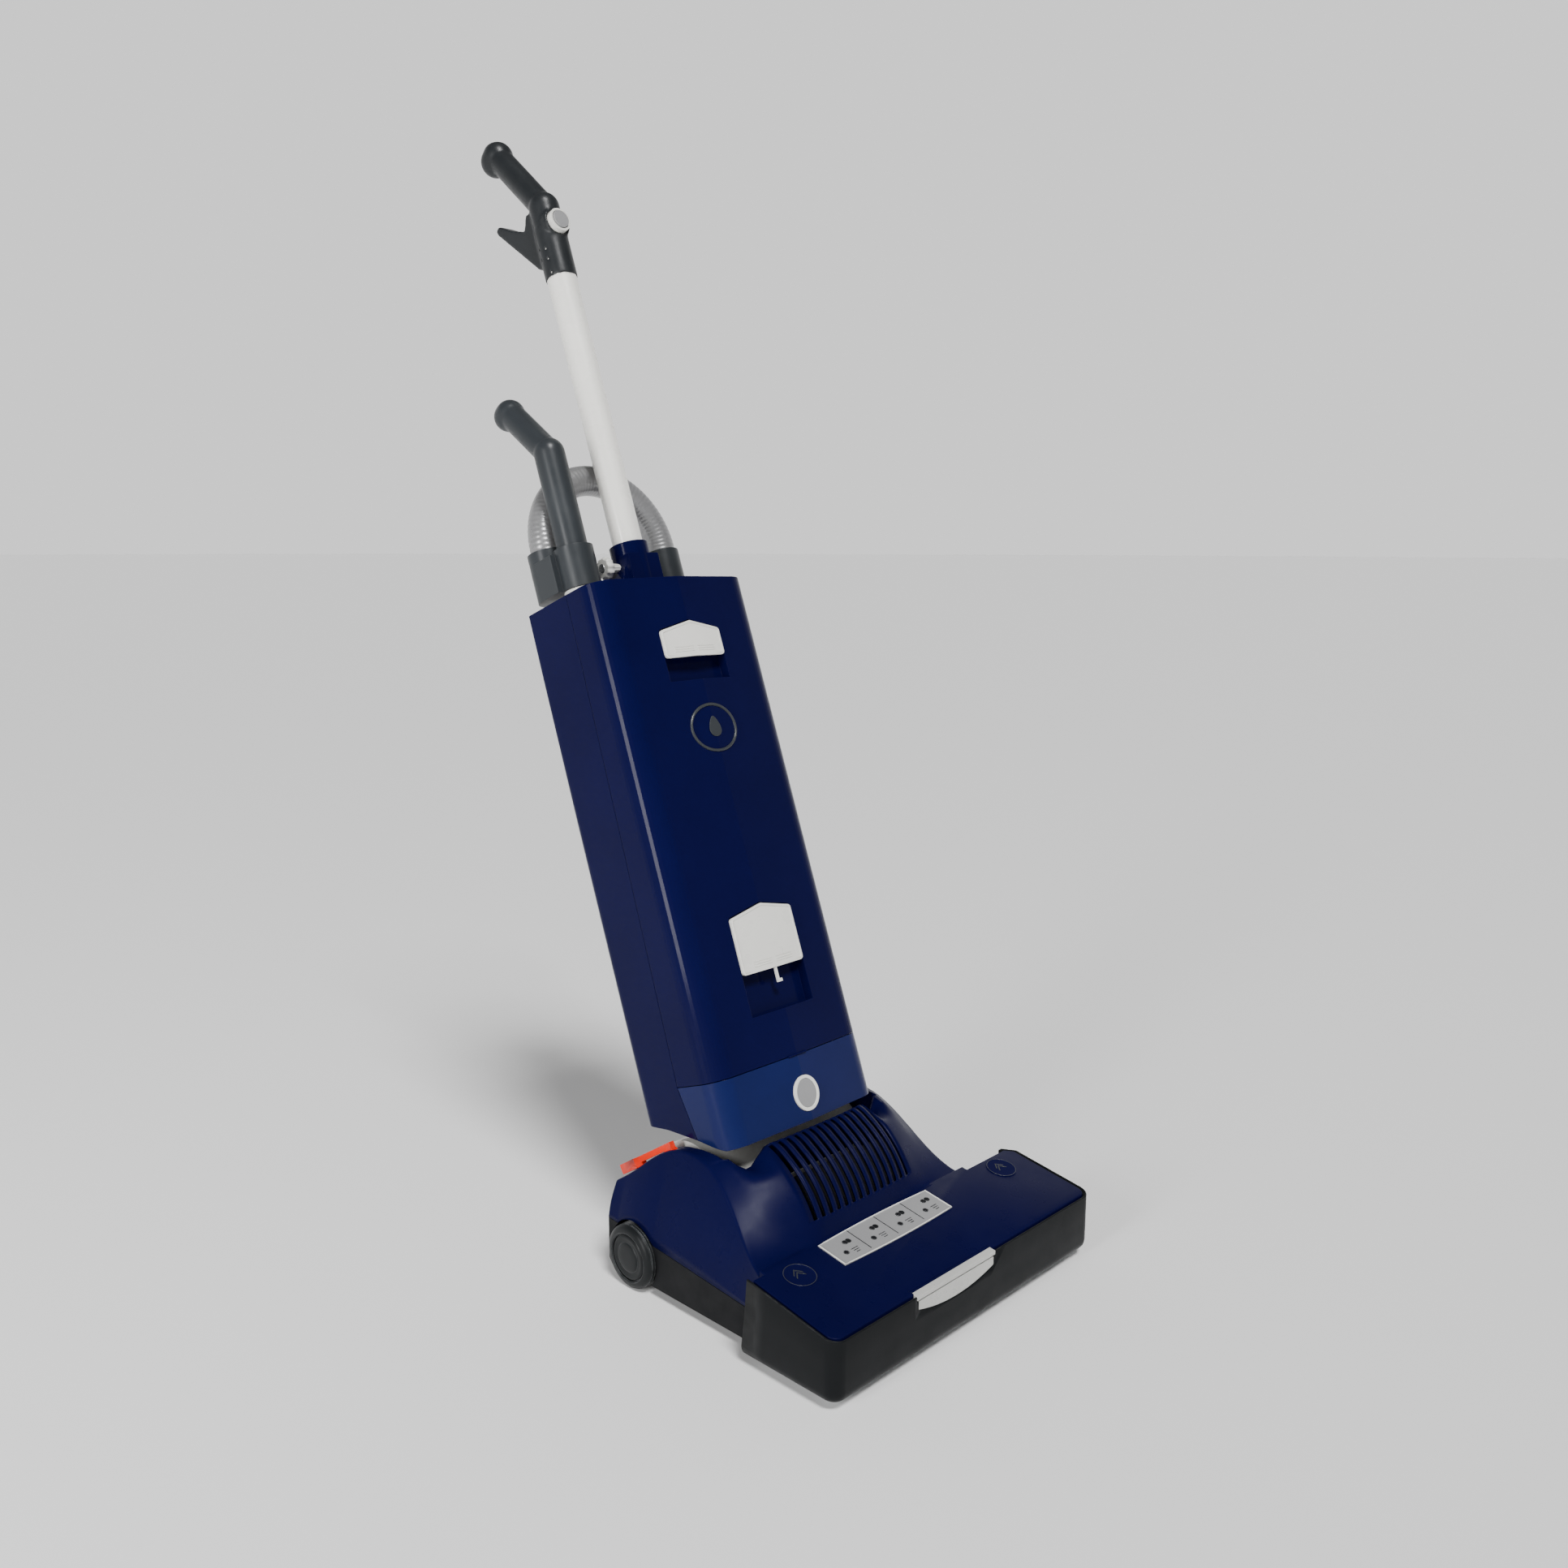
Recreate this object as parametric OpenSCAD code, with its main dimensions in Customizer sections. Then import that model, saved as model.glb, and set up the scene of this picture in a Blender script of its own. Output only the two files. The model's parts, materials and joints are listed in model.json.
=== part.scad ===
// Upright vacuum cleaner, parked and locked upright.
// The head stands on the floor and the upright leans back from a pivot inside its hump.
// +Z is up, the front faces -Y, and the origin is on the floor under the middle of the machine.

/* [Placement] */
// Front face of the bumper, along Y
front_y = -342.5; // [-350:0.5:-340]
// Middle of the hump and upright, along X
centre_x = -29; // [-32:1:-26]
// Lean of the parked upright from vertical, degrees
lean_angle = 20.3; // [19:0.1:21]
// Foot of the upright, rearwards of the bumper's front
lean_y = 184; // [182:1:186]
// Foot of the upright, above the floor
lean_z = 157; // [156:1:160]

/* [Head] */
// Overall width of the bumper
head_w = 386; // [380:1:392]
// Depth of the wing, front to back
wing_d = 105; // [102:1:108]
// Height of the wing at its front edge
wing_front_h = 66; // [64:1:68]
// Height of the wing at its rear edge
wing_rear_h = 84; // [82:1:86]
// Ground clearance of the bumper
bumper_gap = 8.5; // [8:0.5:10]
// Wall of the bumper
bumper_wall = 4; // [3.5:0.5:4.5]
// Radius of the wing's front corners
wing_corner_r = 14; // [10:1:16]
// Cut of the wing's right rear corner
wing_cut = 12; // [10:1:16]
// Chamfer under the bumper
bumper_chamfer = 7; // [5:1:8]
// Wall of the moulded covers
wall = 3; // [2.5:0.1:3]
// Half width of the rear of the head at its foot
hump_foot_w = 146; // [144:1:147]
// Half width of the hump along its crest
hump_crest_w = 121; // [120:1:123]
// Rear end of the head
hump_rear_y = 320; // [314:1:322]
// Half width of the well that takes the upright
well_w = 109; // [108.5:0.5:110]
// Front edge of that well
well_y = 196; // [195:1:198]
// Deck behind the pivot
well_z = 47; // [44:1:48]
// Radius of the hump's edges
hump_edge_r = 3; // [2:0.5:4]
// Number of slots in the exhaust grille
grille_slots = 14; // [12:1:15]
// Half width of the grille
grille_w = 68; // [64:1:70]

/* [Brush and drive] */
// Brush axis, rearwards of the bumper's front
brush_y = 50; // [49:1:51]
// Brush axis, above the floor
brush_z = 34; // [33.5:0.5:35]
// Radius of the bare brush roller
roller_r = 19; // [18:0.5:20]
// Radius over the bristles
bristle_r = 30; // [29:0.5:31]
// Left end of the brush roller, along X
brush_left = -156; // [-157:1:-155]
// Right end of the brush roller, along X
brush_right = 174; // [172:1:175]
// Motor axis, rearwards of the bumper's front
motor_y = 152; // [151:1:153]
// Motor axis, above the floor
motor_z = 56; // [55:1:57]
// Radius of the motor housing
motor_r = 35; // [34:0.5:35]
// Pitch radius of the belt wheel on the brush
brush_pulley_r = 16; // [15.5:0.5:17]
// Pitch radius of the belt wheel on the motor
motor_pulley_r = 9; // [8.5:0.5:10]
// Middle of the belt, along X
belt_x = -165; // [-166:0.5:-164.5]

/* [Wheels] */
// Radius of the rear wheels
wheel_r = 32; // [31:0.5:32.5]
// Width of the rear wheels
wheel_w = 20; // [18:1:21]
// Rear axle, rearwards of the bumper's front
wheel_y = 282; // [280:1:283]
// Outer face of each rear wheel from the middle of the hump
wheel_out = 154; // [152:0.5:155]
// Radius of the small front rollers
caster_r = 9; // [8.5:0.5:9.5]

/* [Neck] */
// Recline pivot, rearwards of the bumper's front
pivot_y = 250; // [249:1:251]
// Recline pivot, above the floor
pivot_z = 92; // [91:1:93]
// Radius of the neck drum
drum_r = 51; // [50:0.5:52]
// Half length of the neck drum
drum_w = 98; // [96:1:99]
// Radius of the pivot pins
pivot_pin_r = 10; // [9:0.5:11]
// Radial play of every pin in its bore
play = 0.05; // [0.03:0.01:0.08]

/* [Upright] */
// Half width of the upright
body_w = 103.5; // [102:0.5:105]
// Height of the upright's body along its lean
body_h = 558; // [550:1:565]
// Depth of the body's foot behind the front datum
body_d = 125; // [123:1:127]
// Loss of depth from foot to top
body_taper = 10; // [8:1:12]
// Forward bulge of the keel line
keel = 4; // [3:0.5:5]
// Radius of the front corners
front_corner_r = 25; // [22:1:28]
// Radius of the rear corners
rear_corner_r = 12; // [10:1:14]
// Top of the lower cover
band_h = 64.5; // [62:0.5:66]
// Seam between door and rear housing, at the band
seam_low = 61; // [59:1:62]
// Seam between door and rear housing, at the top
seam_high = 48; // [46:1:50]
// Gap along every seam
seam = 0.8; // [0.6:0.1:1]

/* [Latches and buttons] */
// Height of the middle of the lower latch
lower_latch_v = 181.5; // [180:0.5:183]
// Width and height of the lower latch
lower_latch = [84, 57]; // [40:1:90]
// Height of the middle of the upper latch
upper_latch_v = 488.5; // [487:0.5:490]
// Width and height of the upper latch
upper_latch = [79, 29]; // [25:1:90]
// Rise of each latch's pointed top
latch_rise = 8; // [6:1:9]
// Finger recess below the lower latch
lower_recess = 41; // [38:1:44]
// Finger recess below the upper latch
upper_recess = 24; // [22:1:26]
// Height of the oval button
button_v = 26.5; // [25:0.5:28]
// Width and height of the oval button
button_size = [33, 36]; // [30:1:38]
// Height of the round emblem
emblem_v = 399.5; // [398:0.5:401]

/* [Handle and wand] */
// Outside radius of the handle tube and the wand
tube_r = 16; // [15.5:0.1:16.2]
// Distance of the tube behind the front datum
tube_d = 58; // [57:1:59]
// Top of the tube's socket
socket_v = 612; // [608:1:616]
// Lower end of the handle casting
grip_v = 908; // [904:1:912]
// Height of the handle's elbow
elbow_v = 990; // [988:1:992]
// Handle end, height along the upright
grip_end_v = 1083; // [1080:1:1086]
// Handle end, behind the front datum
grip_end_d = 115; // [112:1:118]
// Sideways place of the wand
wand_u = -71; // [-72:0.5:-70]
// Wand, behind the front datum
wand_d = 60; // [59:0.5:61]
// Stored foot of the wand
wand_low_v = 140; // [130:1:160]
// Height of the wand's elbow
wand_elbow_v = 712; // [708:1:716]
// Half span of the hose arch
hose_u = 77; // [76.5:0.5:77.5]
// Hose arch, behind the front datum
hose_d = 96; // [95.5:0.5:96.5]
// Height where the hose starts to bend
hose_v = 622; // [620:1:624]
// Outside radius of the hose
hose_r = 16; // [15.5:0.5:16]
// Foot of the cuffs
cuff_v = 567; // [566:1:568]
// Top of the cuffs
cuff_top_v = 618; // [616:1:620]

/* [Hidden] */
$fn = 64;
navy = [0.09, 0.11, 0.31];
band_blue = [0.14, 0.19, 0.43];
bumper_grey = [0.19, 0.2, 0.21];
chassis_grey = [0.14, 0.16, 0.17];
wheel_grey = [0.23, 0.25, 0.26];
cream = [0.87, 0.86, 0.82];
panel_grey = [0.73, 0.73, 0.74];
tube_white = [0.93, 0.92, 0.89];
handle_grey = [0.23, 0.24, 0.26];
wand_grey = [0.33, 0.34, 0.36];
hose_silver = [0.54, 0.54, 0.55];
pedal_red = [1, 0.23, 0.07];
steel = [0.7, 0.71, 0.72];
rubber = [0.08, 0.08, 0.08];
paper = [0.85, 0.8, 0.7];
far = 400;
half_w = head_w / 2;
slope = (wing_rear_h - wing_front_h) / wing_d;
foot_top_front = 40;
foot_top_rear = 58;
belt_w = 9;
belt_t = 2;
axle_r = 5;
caster_u = 91;
caster_y = 117;
pedal_y = 256;
pedal_z = 136;
pedal_angle = 33;
pedal_travel = 12;
pedal_in = 112.7;
pedal_arm_w = 6;
pedal_pad_w = 14;
duct_u = 54;
latch_pin_r = 1.2;
latch_pin_drop = 12;
latch_pin_d = 1;
latch_t = 2.6;
lever_w = 55;
lever_y = 2.4;
lever_z = 58.8;
lever_arc = 190;
lever_low = 45;
latch_proud = 1.5;
pocket_depth = 14;
door_low = band_h + seam;
hinge_d = -4.5;
hinge_r = 1.1;
hinge_w = 12;
deck_lip = 34;
emblem_size = [30.5, 25];
grip_r = 14;
clamp_v = 588;
clamp_pin_r = 4;
switch_v = 966;
switch_d = 40;
front_slope = (26.3 - front_corner_r * sin(86) + keel) / (body_w - front_corner_r * (1 - cos(86)));

// Front slope of the hump on its centre line, [y, z]
slope_line = [[112, 107], [139, 141], [159, 154], [172, 157]];
// Foot of the slope on the wing, [half width, y, z]
foot_line = [
    [30, wing_d, wing_rear_h], [97, wing_d + 1, wing_rear_h - 1], [143, wing_d + 6, wing_rear_h - 3]
];
// Crest of the side wall, [half width, y, z]
ridge = [
    [hump_foot_w - 1, 117, 81], [138, 132, 88], [134, 142.5, 102], [129, 157, 118],
    [126, 171.5, 132], [122.5, 189, 141], [hump_crest_w, 211, 147], [hump_crest_w, 243, 147],
    [123.6, 263, 141], [127, 282, 128], [130, 292, 117], [135, 320, 97],
    [hump_foot_w, hump_rear_y, foot_top_rear], [hump_foot_w, hump_rear_y, foot_top_front],
    [hump_foot_w, wing_d + 2, foot_top_front]
];

function wing_z(y) = wing_front_h + slope * y;
function arc(x, y, r, from, to, n) = [
    for (i = [0:n]) let (a = from + (to - from) * i / n) [x + r * cos(a), y + r * sin(a)]
];
function oval(a, b, n) = [for (i = [0:n - 1]) [a * cos(360 * i / n), b * sin(360 * i / n)]];
function flip(points) = [for (i = [len(points) - 1:-1:0]) [-points[i][0], points[i][1]]];

module head() {
    translate([0, front_y, 0]) children();
}
module mid() {
    translate([centre_x, front_y, 0]) children();
}
module lean() {
    translate([centre_x, front_y + lean_y, lean_z]) rotate([-lean_angle, 0, 0]) children();
}
// A side-view outline, [y, z], drawn out along X
module along_x(w, points) {
    rotate([90, 0, 90]) linear_extrude(w, center = true) polygon(points);
}
// A front-view outline, [x, z], drawn out along Y
module along_y(w, points) {
    rotate([90, 0, 0]) linear_extrude(w, center = true) polygon(points);
}
module along_x_from(w, points) {
    rotate([90, 0, 90]) linear_extrude(w) polygon(points);
}
module rod_x(r, from, to) {
    translate([from, 0, 0]) rotate([0, 90, 0]) cylinder(r = r, h = to - from);
}
module rod_y(r, from, to) {
    translate([0, to, 0]) rotate([90, 0, 0]) cylinder(r = r, h = to - from);
}
module both() {
    children();
    mirror([1, 0, 0]) children();
}

// ---- head ----

module wing_plan(inset) {
    r = wing_corner_r;
    polygon(concat(
        arc(-half_w + r, r, r - inset, 180, 270, 8),
        arc(half_w - r, r, r - inset, 270, 360, 8),
        [[half_w - inset, wing_d - wing_cut], [half_w - wing_cut, wing_d - inset],
         [-half_w + inset, wing_d - inset]]
    ));
}

// Space under the wing's sloping top, lowered by drop
module under_wing(drop) {
    along_x(head_w + 2, [
        [-1, 0], [wing_d + 1, 0], [wing_d + 1, wing_z(wing_d + 1) - drop], [-1, wing_z(-1) - drop]
    ]);
}

module hump_solid(inset) {
    middle = hump_rear_y - 100;
    r = hump_edge_r;
    hull() {
        both() {
            for (p = foot_line) {
                translate([p[0] - inset, p[1] + inset + r, p[2] - inset - r]) sphere(r = r, $fn = 8);
            }
            for (p = slope_line) {
                for (side = [[0, -2], [45, -1], [66, 1.5], [97, 12]]) {
                    translate([side[0], p[0] + side[1] + inset + r, p[1] - inset - r - side[1] / 4])
                        sphere(r = r, $fn = 8);
                }
            }
            for (p = ridge) {
                back = p[1] < middle ? inset + r : -inset - r;
                translate([p[0] - inset - r, p[1] + back, p[2] - inset - r]) sphere(r = r, $fn = 8);
            }
        }
    }
}

module wheel_wells(r) {
    both() {
        translate([0, wheel_y, wheel_r]) rod_x(r, wheel_out - wheel_w - 2, wheel_out + 20);
    }
}

// Space swept by the upright above the head
module upright_space() {
    depth = 160;
    along_x(2 * well_w, [
        [well_y, well_z], [hump_rear_y + 10, well_z], [hump_rear_y + 10, 200],
        [well_y - 20, 200], [well_y - 20, lean_z - 1], [well_y, lean_z - 9]
    ]);
    translate([0, lean_y, lean_z - 3]) rotate([-lean_angle, 0, 0])
        translate([-well_w, -8, 0]) cube([2 * well_w, depth, 60]);
}

module top_cover() {
    color(navy) {
        head() intersection() {
            under_wing(0);
            translate([0, 0, foot_top_front]) linear_extrude(60) wing_plan(bumper_wall + 0.2);
            difference() {
                translate([-half_w, 0, 0]) cube([head_w, wing_d + 1, 100]);
                intersection() {
                    under_wing(wall);
                    translate([0, 0, 1]) linear_extrude(98) wing_plan(bumper_wall + 0.2 + wall);
                }
                translate([centre_x, 0, 0]) {
                    hump_opening();
                    strip_space();
                    lever_space();
                }
            }
        }
        mid() difference() {
            union() {
                difference() {
                    hump_solid(0);
                    hump_solid(wall);
                    translate([5 - hump_foot_w, 0, 0])
                        cube([2 * hump_foot_w - 10, wing_d + 22, wing_rear_h - 6]);
                }
                translate([3 - hump_foot_w, 0, 0]) along_x_from(2 * hump_foot_w - 6, [
                    [wing_d - 7, wing_z(wing_d - 7) - wall], [wing_d + 4, wing_z(wing_d + 4) - wall],
                    [wing_d + 4, wing_z(wing_d)], [wing_d, wing_z(wing_d)],
                    [wing_d - 7, wing_z(wing_d - 7)]
                ]);
                intersection() {
                    hump_solid(0);
                    both() translate([well_w, well_y - 16, foot_top_front])
                        cube([wall, hump_rear_y, 200]);
                }
            }
            translate([-far / 2, 0, -10]) cube([far, far, 10 + foot_top_front]);
            along_x(far, [
                [100, 30], [far, 30], [hump_rear_y + 9, foot_top_rear + 1.2],
                [wing_d, foot_top_front + 0.7]
            ]);
            upright_space();
            wheel_wells(wheel_r + 3);
            grille_cuts();
            pedal_slot();
            translate([0, pedal_y, pedal_z]) rod_x(3, -pedal_in - 9, -well_w);
            both() translate([0, pivot_y, pivot_z])
                rod_x(pivot_pin_r + 1, well_w - 2, well_w + wall + 1);
        }
    }
}

// Opening of the wing's top under the hump
module hump_opening() {
    translate([5 - hump_foot_w, wing_d - 9, 30]) cube([2 * hump_foot_w - 10, 20, wing_rear_h - 36]);
}

module grille_cuts() {
    pitch = 2 * (grille_w - 2) / (grille_slots - 1);
    for (i = [0:grille_slots - 1]) {
        translate([-grille_w + 2 + i * pitch, 0, 0]) along_x(pitch * 0.5, [
            [104, 112], [116, 103], [143, 136], [161, 148],
            [171, 151], [169, 166], [155, 163], [133, 147]
        ]);
    }
}

// A box in the pedal's own frame: out from the inner face, along the arm, up from the pivot
module pedal_box(from, size) {
    translate([-pedal_in - from[0] - size[0], 0, 0]) translate([0, from[1], from[2]]) cube(size);
}

// Room for the pedal at rest and pressed down
module pedal_slot() {
    gap = 0.5;
    translate([0, pedal_y, pedal_z]) for (press = [0, pedal_travel / 2, pedal_travel + 1]) {
        rotate([-pedal_angle - press, 0, 0]) {
            pedal_box([-gap, -9, -9], [pedal_arm_w + 2 * gap, 70, 60]);
            pedal_box([-gap, 45, 0.5], [pedal_pad_w + 2 * gap, 40, 60]);
        }
    }
}

// Recess for the strip over the latch, in the wing's front edge
module strip_space() {
    along_x(2 * lever_w + 6, [[-2, 61.6], [7.4, 61.6], [7.4, 90], [-2, 90]]);
}

// Room behind the latch lever's top edge as it swings
module lever_space() {
    translate([-lever_w - 4, 0, lever_z - 6]) cube([2 * lever_w + 8, 5.4, 10]);
}

// Outline of the latch lever seen from the front
module lever_plan(grow) {
    intersection() {
        translate([-lever_w - grow, lever_low - 1])
            square([2 * (lever_w + grow), 60.6 - lever_low + 1 + 2 * grow]);
        translate([0, lever_low + lever_arc]) circle(r = lever_arc + grow, $fn = 240);
    }
}

module bumper() {
    low = bumper_gap;
    c = bumper_chamfer;
    color(bumper_grey) head() difference() {
        intersection() {
            linear_extrude(120) difference() {
                wing_plan(0);
                wing_plan(bumper_wall);
            }
            under_wing(0);
            along_x(head_w, [[0, low + c], [c * 0.7, low], [wing_d, low], [wing_d, 120], [0, 120]]);
            along_y(3 * wing_d, [
                [-half_w, low + c], [-half_w + c * 0.5, low], [half_w - c * 0.5, low],
                [half_w, low + c], [half_w, 120], [-half_w, 120]
            ]);
        }
        translate([-half_w + bumper_wall, wing_d - bumper_wall - 1, 0])
            cube([head_w - wing_cut - bumper_wall - 4, 20, 150]);
        translate([centre_x, 0, 0]) {
            strip_space();
            translate([0, 10, 0]) rotate([90, 0, 0]) linear_extrude(20) lever_plan(0.5);
            translate([0, lever_y, lever_z]) rod_x(1.2 + play, -lever_w - 3.5, lever_w + 3.5);
        }
    }
}

module chassis() {
    side = half_w - 9;
    color(chassis_grey) {
        mid() difference() {
            union() {
                difference() {
                    along_x(2 * hump_foot_w, [
                        [wing_d, 10], [hump_rear_y - 4, 10], [hump_rear_y, 16],
                        [hump_rear_y, foot_top_rear], [wing_d, foot_top_front]
                    ]);
                    along_x(2 * (hump_foot_w - wall), [
                        [wing_d + wall, 13], [hump_rear_y - wall, 13],
                        [hump_rear_y - wall, 80], [wing_d + wall, 80]
                    ]);
                }
                both() difference() {
                    translate([well_w + wall + 0.5, pivot_y - 24, 12]) cube([5, 48, pivot_z + 2]);
                    translate([0, pivot_y, pivot_z]) rod_x(pivot_pin_r, well_w, well_w + 20);
                }
                for (u = [-72, 6]) {
                    difference() {
                        translate([u - 2, motor_y - 28, 12]) cube([4, 56, 34]);
                        translate([0, motor_y, motor_z]) rod_x(motor_r + 0.1, u - 5, u + 5);
                    }
                }
                translate([-well_w, hump_rear_y - 12, well_z - 3]) cube([2 * well_w, 11, 3]);
                both() translate([caster_u - 15.5, caster_y - 6, 6]) cube([31, 12, 10]);
            }
            wheel_wells(wheel_r + 2);
            translate([0, wheel_y, wheel_r]) rod_x(axle_r, -far / 2, far / 2);
            translate([belt_x - centre_x - 8, wing_d - 1, 20]) cube([16, 10, 60]);
            translate([duct_u - 22, wing_d - 1, 15]) cube([44, 6, 31]);
            both() {
                translate([caster_u - 11, caster_y - 11, 5]) cube([22, 22, 20]);
                translate([caster_u, caster_y, caster_r]) rod_x(2.5, -20, 20);
            }
        }
        mid() both() wheel_wall();
        head() difference() {
            union() {
                translate([0, brush_y, brush_z]) rod_x(36, brush_left - 2, side);
                translate([-side, wing_d - 3, 12]) cube([2 * side - 8, 3.5, 54]);
                translate([-side, 12, 61]) cube([2 * side, 56, 2]);
                translate([side - 3, 16, 12]) cube([3, wing_d - 30, 50]);
                translate([-side, 16, 12]) cube([3, wing_d - 25, 50]);
                translate([-side, 16, 12]) cube([3, wing_d - 14, 27]);
            }
            translate([0, brush_y, brush_z]) rod_x(33, brush_left - 10, side - 3);
            translate([-half_w, 0, -50]) cube([head_w, wing_d + 5, 62]);
            translate([-side + 3, 20, -10]) cube([2 * side - 6, 60, 44]);
            translate([centre_x + duct_u - 22, wing_d - 10, 15]) cube([44, 20, 31]);
            translate([belt_x - 8, wing_d - 10, 20]) cube([16, 20, 60]);
            translate([centre_x - lever_w - 4, -1, 40]) cube([2 * lever_w + 8, 12, 40]);
        }
    }
}

// Arch that closes the tray above each rear wheel
module wheel_wall() {
    x = wheel_out - wheel_w - 5;
    difference() {
        translate([x, wheel_y - 36, 12]) cube([2.5, 72, 42]);
        translate([0, wheel_y, wheel_r]) rod_x(axle_r, 0, 200);
    }
}

module exhaust_filter() {
    color(paper) mid() along_x(2 * grille_w + 8, [[117, 92], [148, 131], [156, 124], [124, 84]]);
}

module sole_plate() {
    color(steel) head() difference() {
        translate([0, 0, 8.8]) linear_extrude(3) wing_plan(bumper_wall + 0.6);
        translate([brush_left - 1, brush_y - 31, 0]) cube([brush_right - brush_left + 2, 62, 20]);
    }
}

module brush_axis() {
    head() translate([0, brush_y, brush_z]) children();
}

module brush_roller() {
    color(rubber) brush_axis() difference() {
        union() {
            rod_x(roller_r, brush_left, brush_right);
            rod_x(roller_r + 3, brush_left, brush_left + 4);
            rod_x(roller_r + 3, brush_right - 4, brush_right);
        }
        rod_x(4 + play, brush_left - 1, brush_left + 22);
        rod_x(4 + play, brush_right - 22, brush_right + 1);
    }
}

module brush_bristles() {
    tufts = 18;
    pitch = (brush_right - brush_left - 24) / (tufts - 1);
    color([0.2, 0.2, 0.22]) brush_axis() for (i = [0:tufts - 1], row = [0:3]) {
        turn = row * 90 + 150 * abs(2 * i / (tufts - 1) - 1);
        translate([brush_left + 12 + i * pitch, 0, 0]) rotate([turn, 0, 0])
            translate([0, 0, roller_r - 0.4]) cylinder(r = 3, h = bristle_r - roller_r + 0.4, $fn = 20);
    }
}

module brush_pulley() {
    color(wheel_grey) brush_axis() difference() {
        union() {
            rod_x(brush_pulley_r - belt_t / 2, belt_x - belt_w / 2 - 1, brush_left);
            rod_x(brush_pulley_r + 2, belt_x - belt_w / 2 - 2, belt_x - belt_w / 2 - 0.5);
            rod_x(brush_pulley_r + 2, belt_x + belt_w / 2 + 0.5, brush_left);
        }
        rod_x(4 + play, belt_x - 20, brush_left + 1);
    }
}

module brush_end(from, to, pin_from, pin_to) {
    brush_axis() {
        rod_x(4, pin_from, pin_to);
        rod_x(14, from, to);
    }
}
module brush_end_left() {
    color(bumper_grey) brush_end(-180.6, -173, -173.1, brush_left + 20);
}
module brush_end_right() {
    color(bumper_grey) brush_end(175, 180.6, brush_right - 20, 175.1);
}

// Closed loop round both pulleys, let out by grow
function belt_loop(grow) =
    let (dy = motor_y - brush_y, dz = motor_z - brush_z, a = atan2(dz, dy),
        tilt = acos((brush_pulley_r - motor_pulley_r) / norm([dy, dz])))
    concat(
        arc(0, 0, brush_pulley_r + grow, a + tilt, a - tilt + 360, 32),
        arc(dy, dz, motor_pulley_r + grow, a - tilt, a + tilt, 20)
    );

module drive_belt() {
    color(rubber) brush_axis() translate([belt_x, 0, 0]) rotate([90, 0, 90])
        linear_extrude(belt_w, center = true) difference() {
            polygon(belt_loop(belt_t / 2));
            polygon(belt_loop(-belt_t / 2 + 0.2));
        }
}

module motor_axis() {
    head() translate([0, motor_y, motor_z]) children();
}

module motor_housing() {
    left = centre_x - 92;
    right = centre_x + 22;
    color(wheel_grey) motor_axis() difference() {
        union() {
            rod_x(motor_r, left, right);
            rod_x(motor_r + 2, left + 24, left + 30);
            rod_x(motor_r + 2, right - 28, right - 22);
        }
        rod_x(motor_r - 3, left + 4, right - 4);
        rod_x(4 + play, left - 1, right + 1);
    }
}

module motor_rotor() {
    color(steel) motor_axis() {
        rod_x(4, belt_x - 6, centre_x + 20);
        rod_x(motor_pulley_r - belt_t / 2, belt_x - belt_w / 2, belt_x + belt_w / 2);
        rod_x(22, centre_x - 76, centre_x - 32);
    }
}

module motor_fan() {
    blades = 9;
    color(wand_grey) motor_axis() difference() {
        union() {
            rod_x(29, centre_x - 14, centre_x - 11);
            rod_x(10, centre_x - 14, centre_x + 6);
            for (i = [0:blades - 1]) {
                rotate([i * 360 / blades, 0, 0]) translate([centre_x - 12, 5, 8]) rotate([24, 0, 0])
                    cube([14, 2, 19]);
            }
        }
        rod_x(4, centre_x - 20, centre_x + 30);
    }
}

module wheel_at(side) {
    mid() mirror([side < 0 ? 1 : 0, 0, 0]) translate([0, wheel_y, wheel_r]) children();
}
module wheel() {
    out = wheel_out;
    difference() {
        union() {
            rod_x(wheel_r, out - wheel_w, out - 3);
            rod_x(wheel_r - 2.5, out - 3, out);
        }
        rod_x(axle_r + play, 0, 200);
        rod_x(wheel_r - 9, out - 3.5, out + 1);
    }
}
module wheel_left() {
    color(wheel_grey) wheel_at(-1) wheel();
}
module wheel_right() {
    color(wheel_grey) wheel_at(1) wheel();
}
module wheel_cap() {
    out = wheel_out;
    rod_x(wheel_r - 9.2, out - 3.4, out - 1);
    rod_x(wheel_r - 15, out - 1.2, out + 0.5);
}
module wheel_cap_left() {
    color(wheel_grey) wheel_at(-1) wheel_cap();
}
module wheel_cap_right() {
    color(wheel_grey) wheel_at(1) wheel_cap();
}
module wheel_axle() {
    end = wheel_out - 4.2;
    color(steel) mid() translate([0, wheel_y, wheel_r]) rod_x(axle_r, -end, end);
}

module caster_at(side) {
    mid() translate([side * caster_u, caster_y, caster_r]) children();
}
module caster() {
    difference() {
        rod_x(caster_r, -9, 9);
        rod_x(2.5 + play, -10, 10);
    }
}
module caster_left() {
    color(wheel_grey) caster_at(-1) caster();
}
module caster_right() {
    color(wheel_grey) caster_at(1) caster();
}
module caster_axle_left() {
    color(steel) caster_at(-1) rod_x(2.5, -15, 15);
}
module caster_axle_right() {
    color(steel) caster_at(1) rod_x(2.5, -15, 15);
}

module front_latch() {
    color(cream) mid() {
        translate([0, 4, 0]) rotate([90, 0, 0]) linear_extrude(3.6) lever_plan(0);
        translate([-0.8, -0.2, 47]) cube([1.6, 2, 12.5]);
        translate([0, lever_y, lever_z]) rod_x(1.2, -lever_w - 3, lever_w + 3);
    }
}

module latch_strip() {
    color(cream) mid() along_x(2 * lever_w + 5, [[0.2, 62], [7, 62], [7, wing_z(7)], [0.2, wing_z(0)]]);
}

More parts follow.
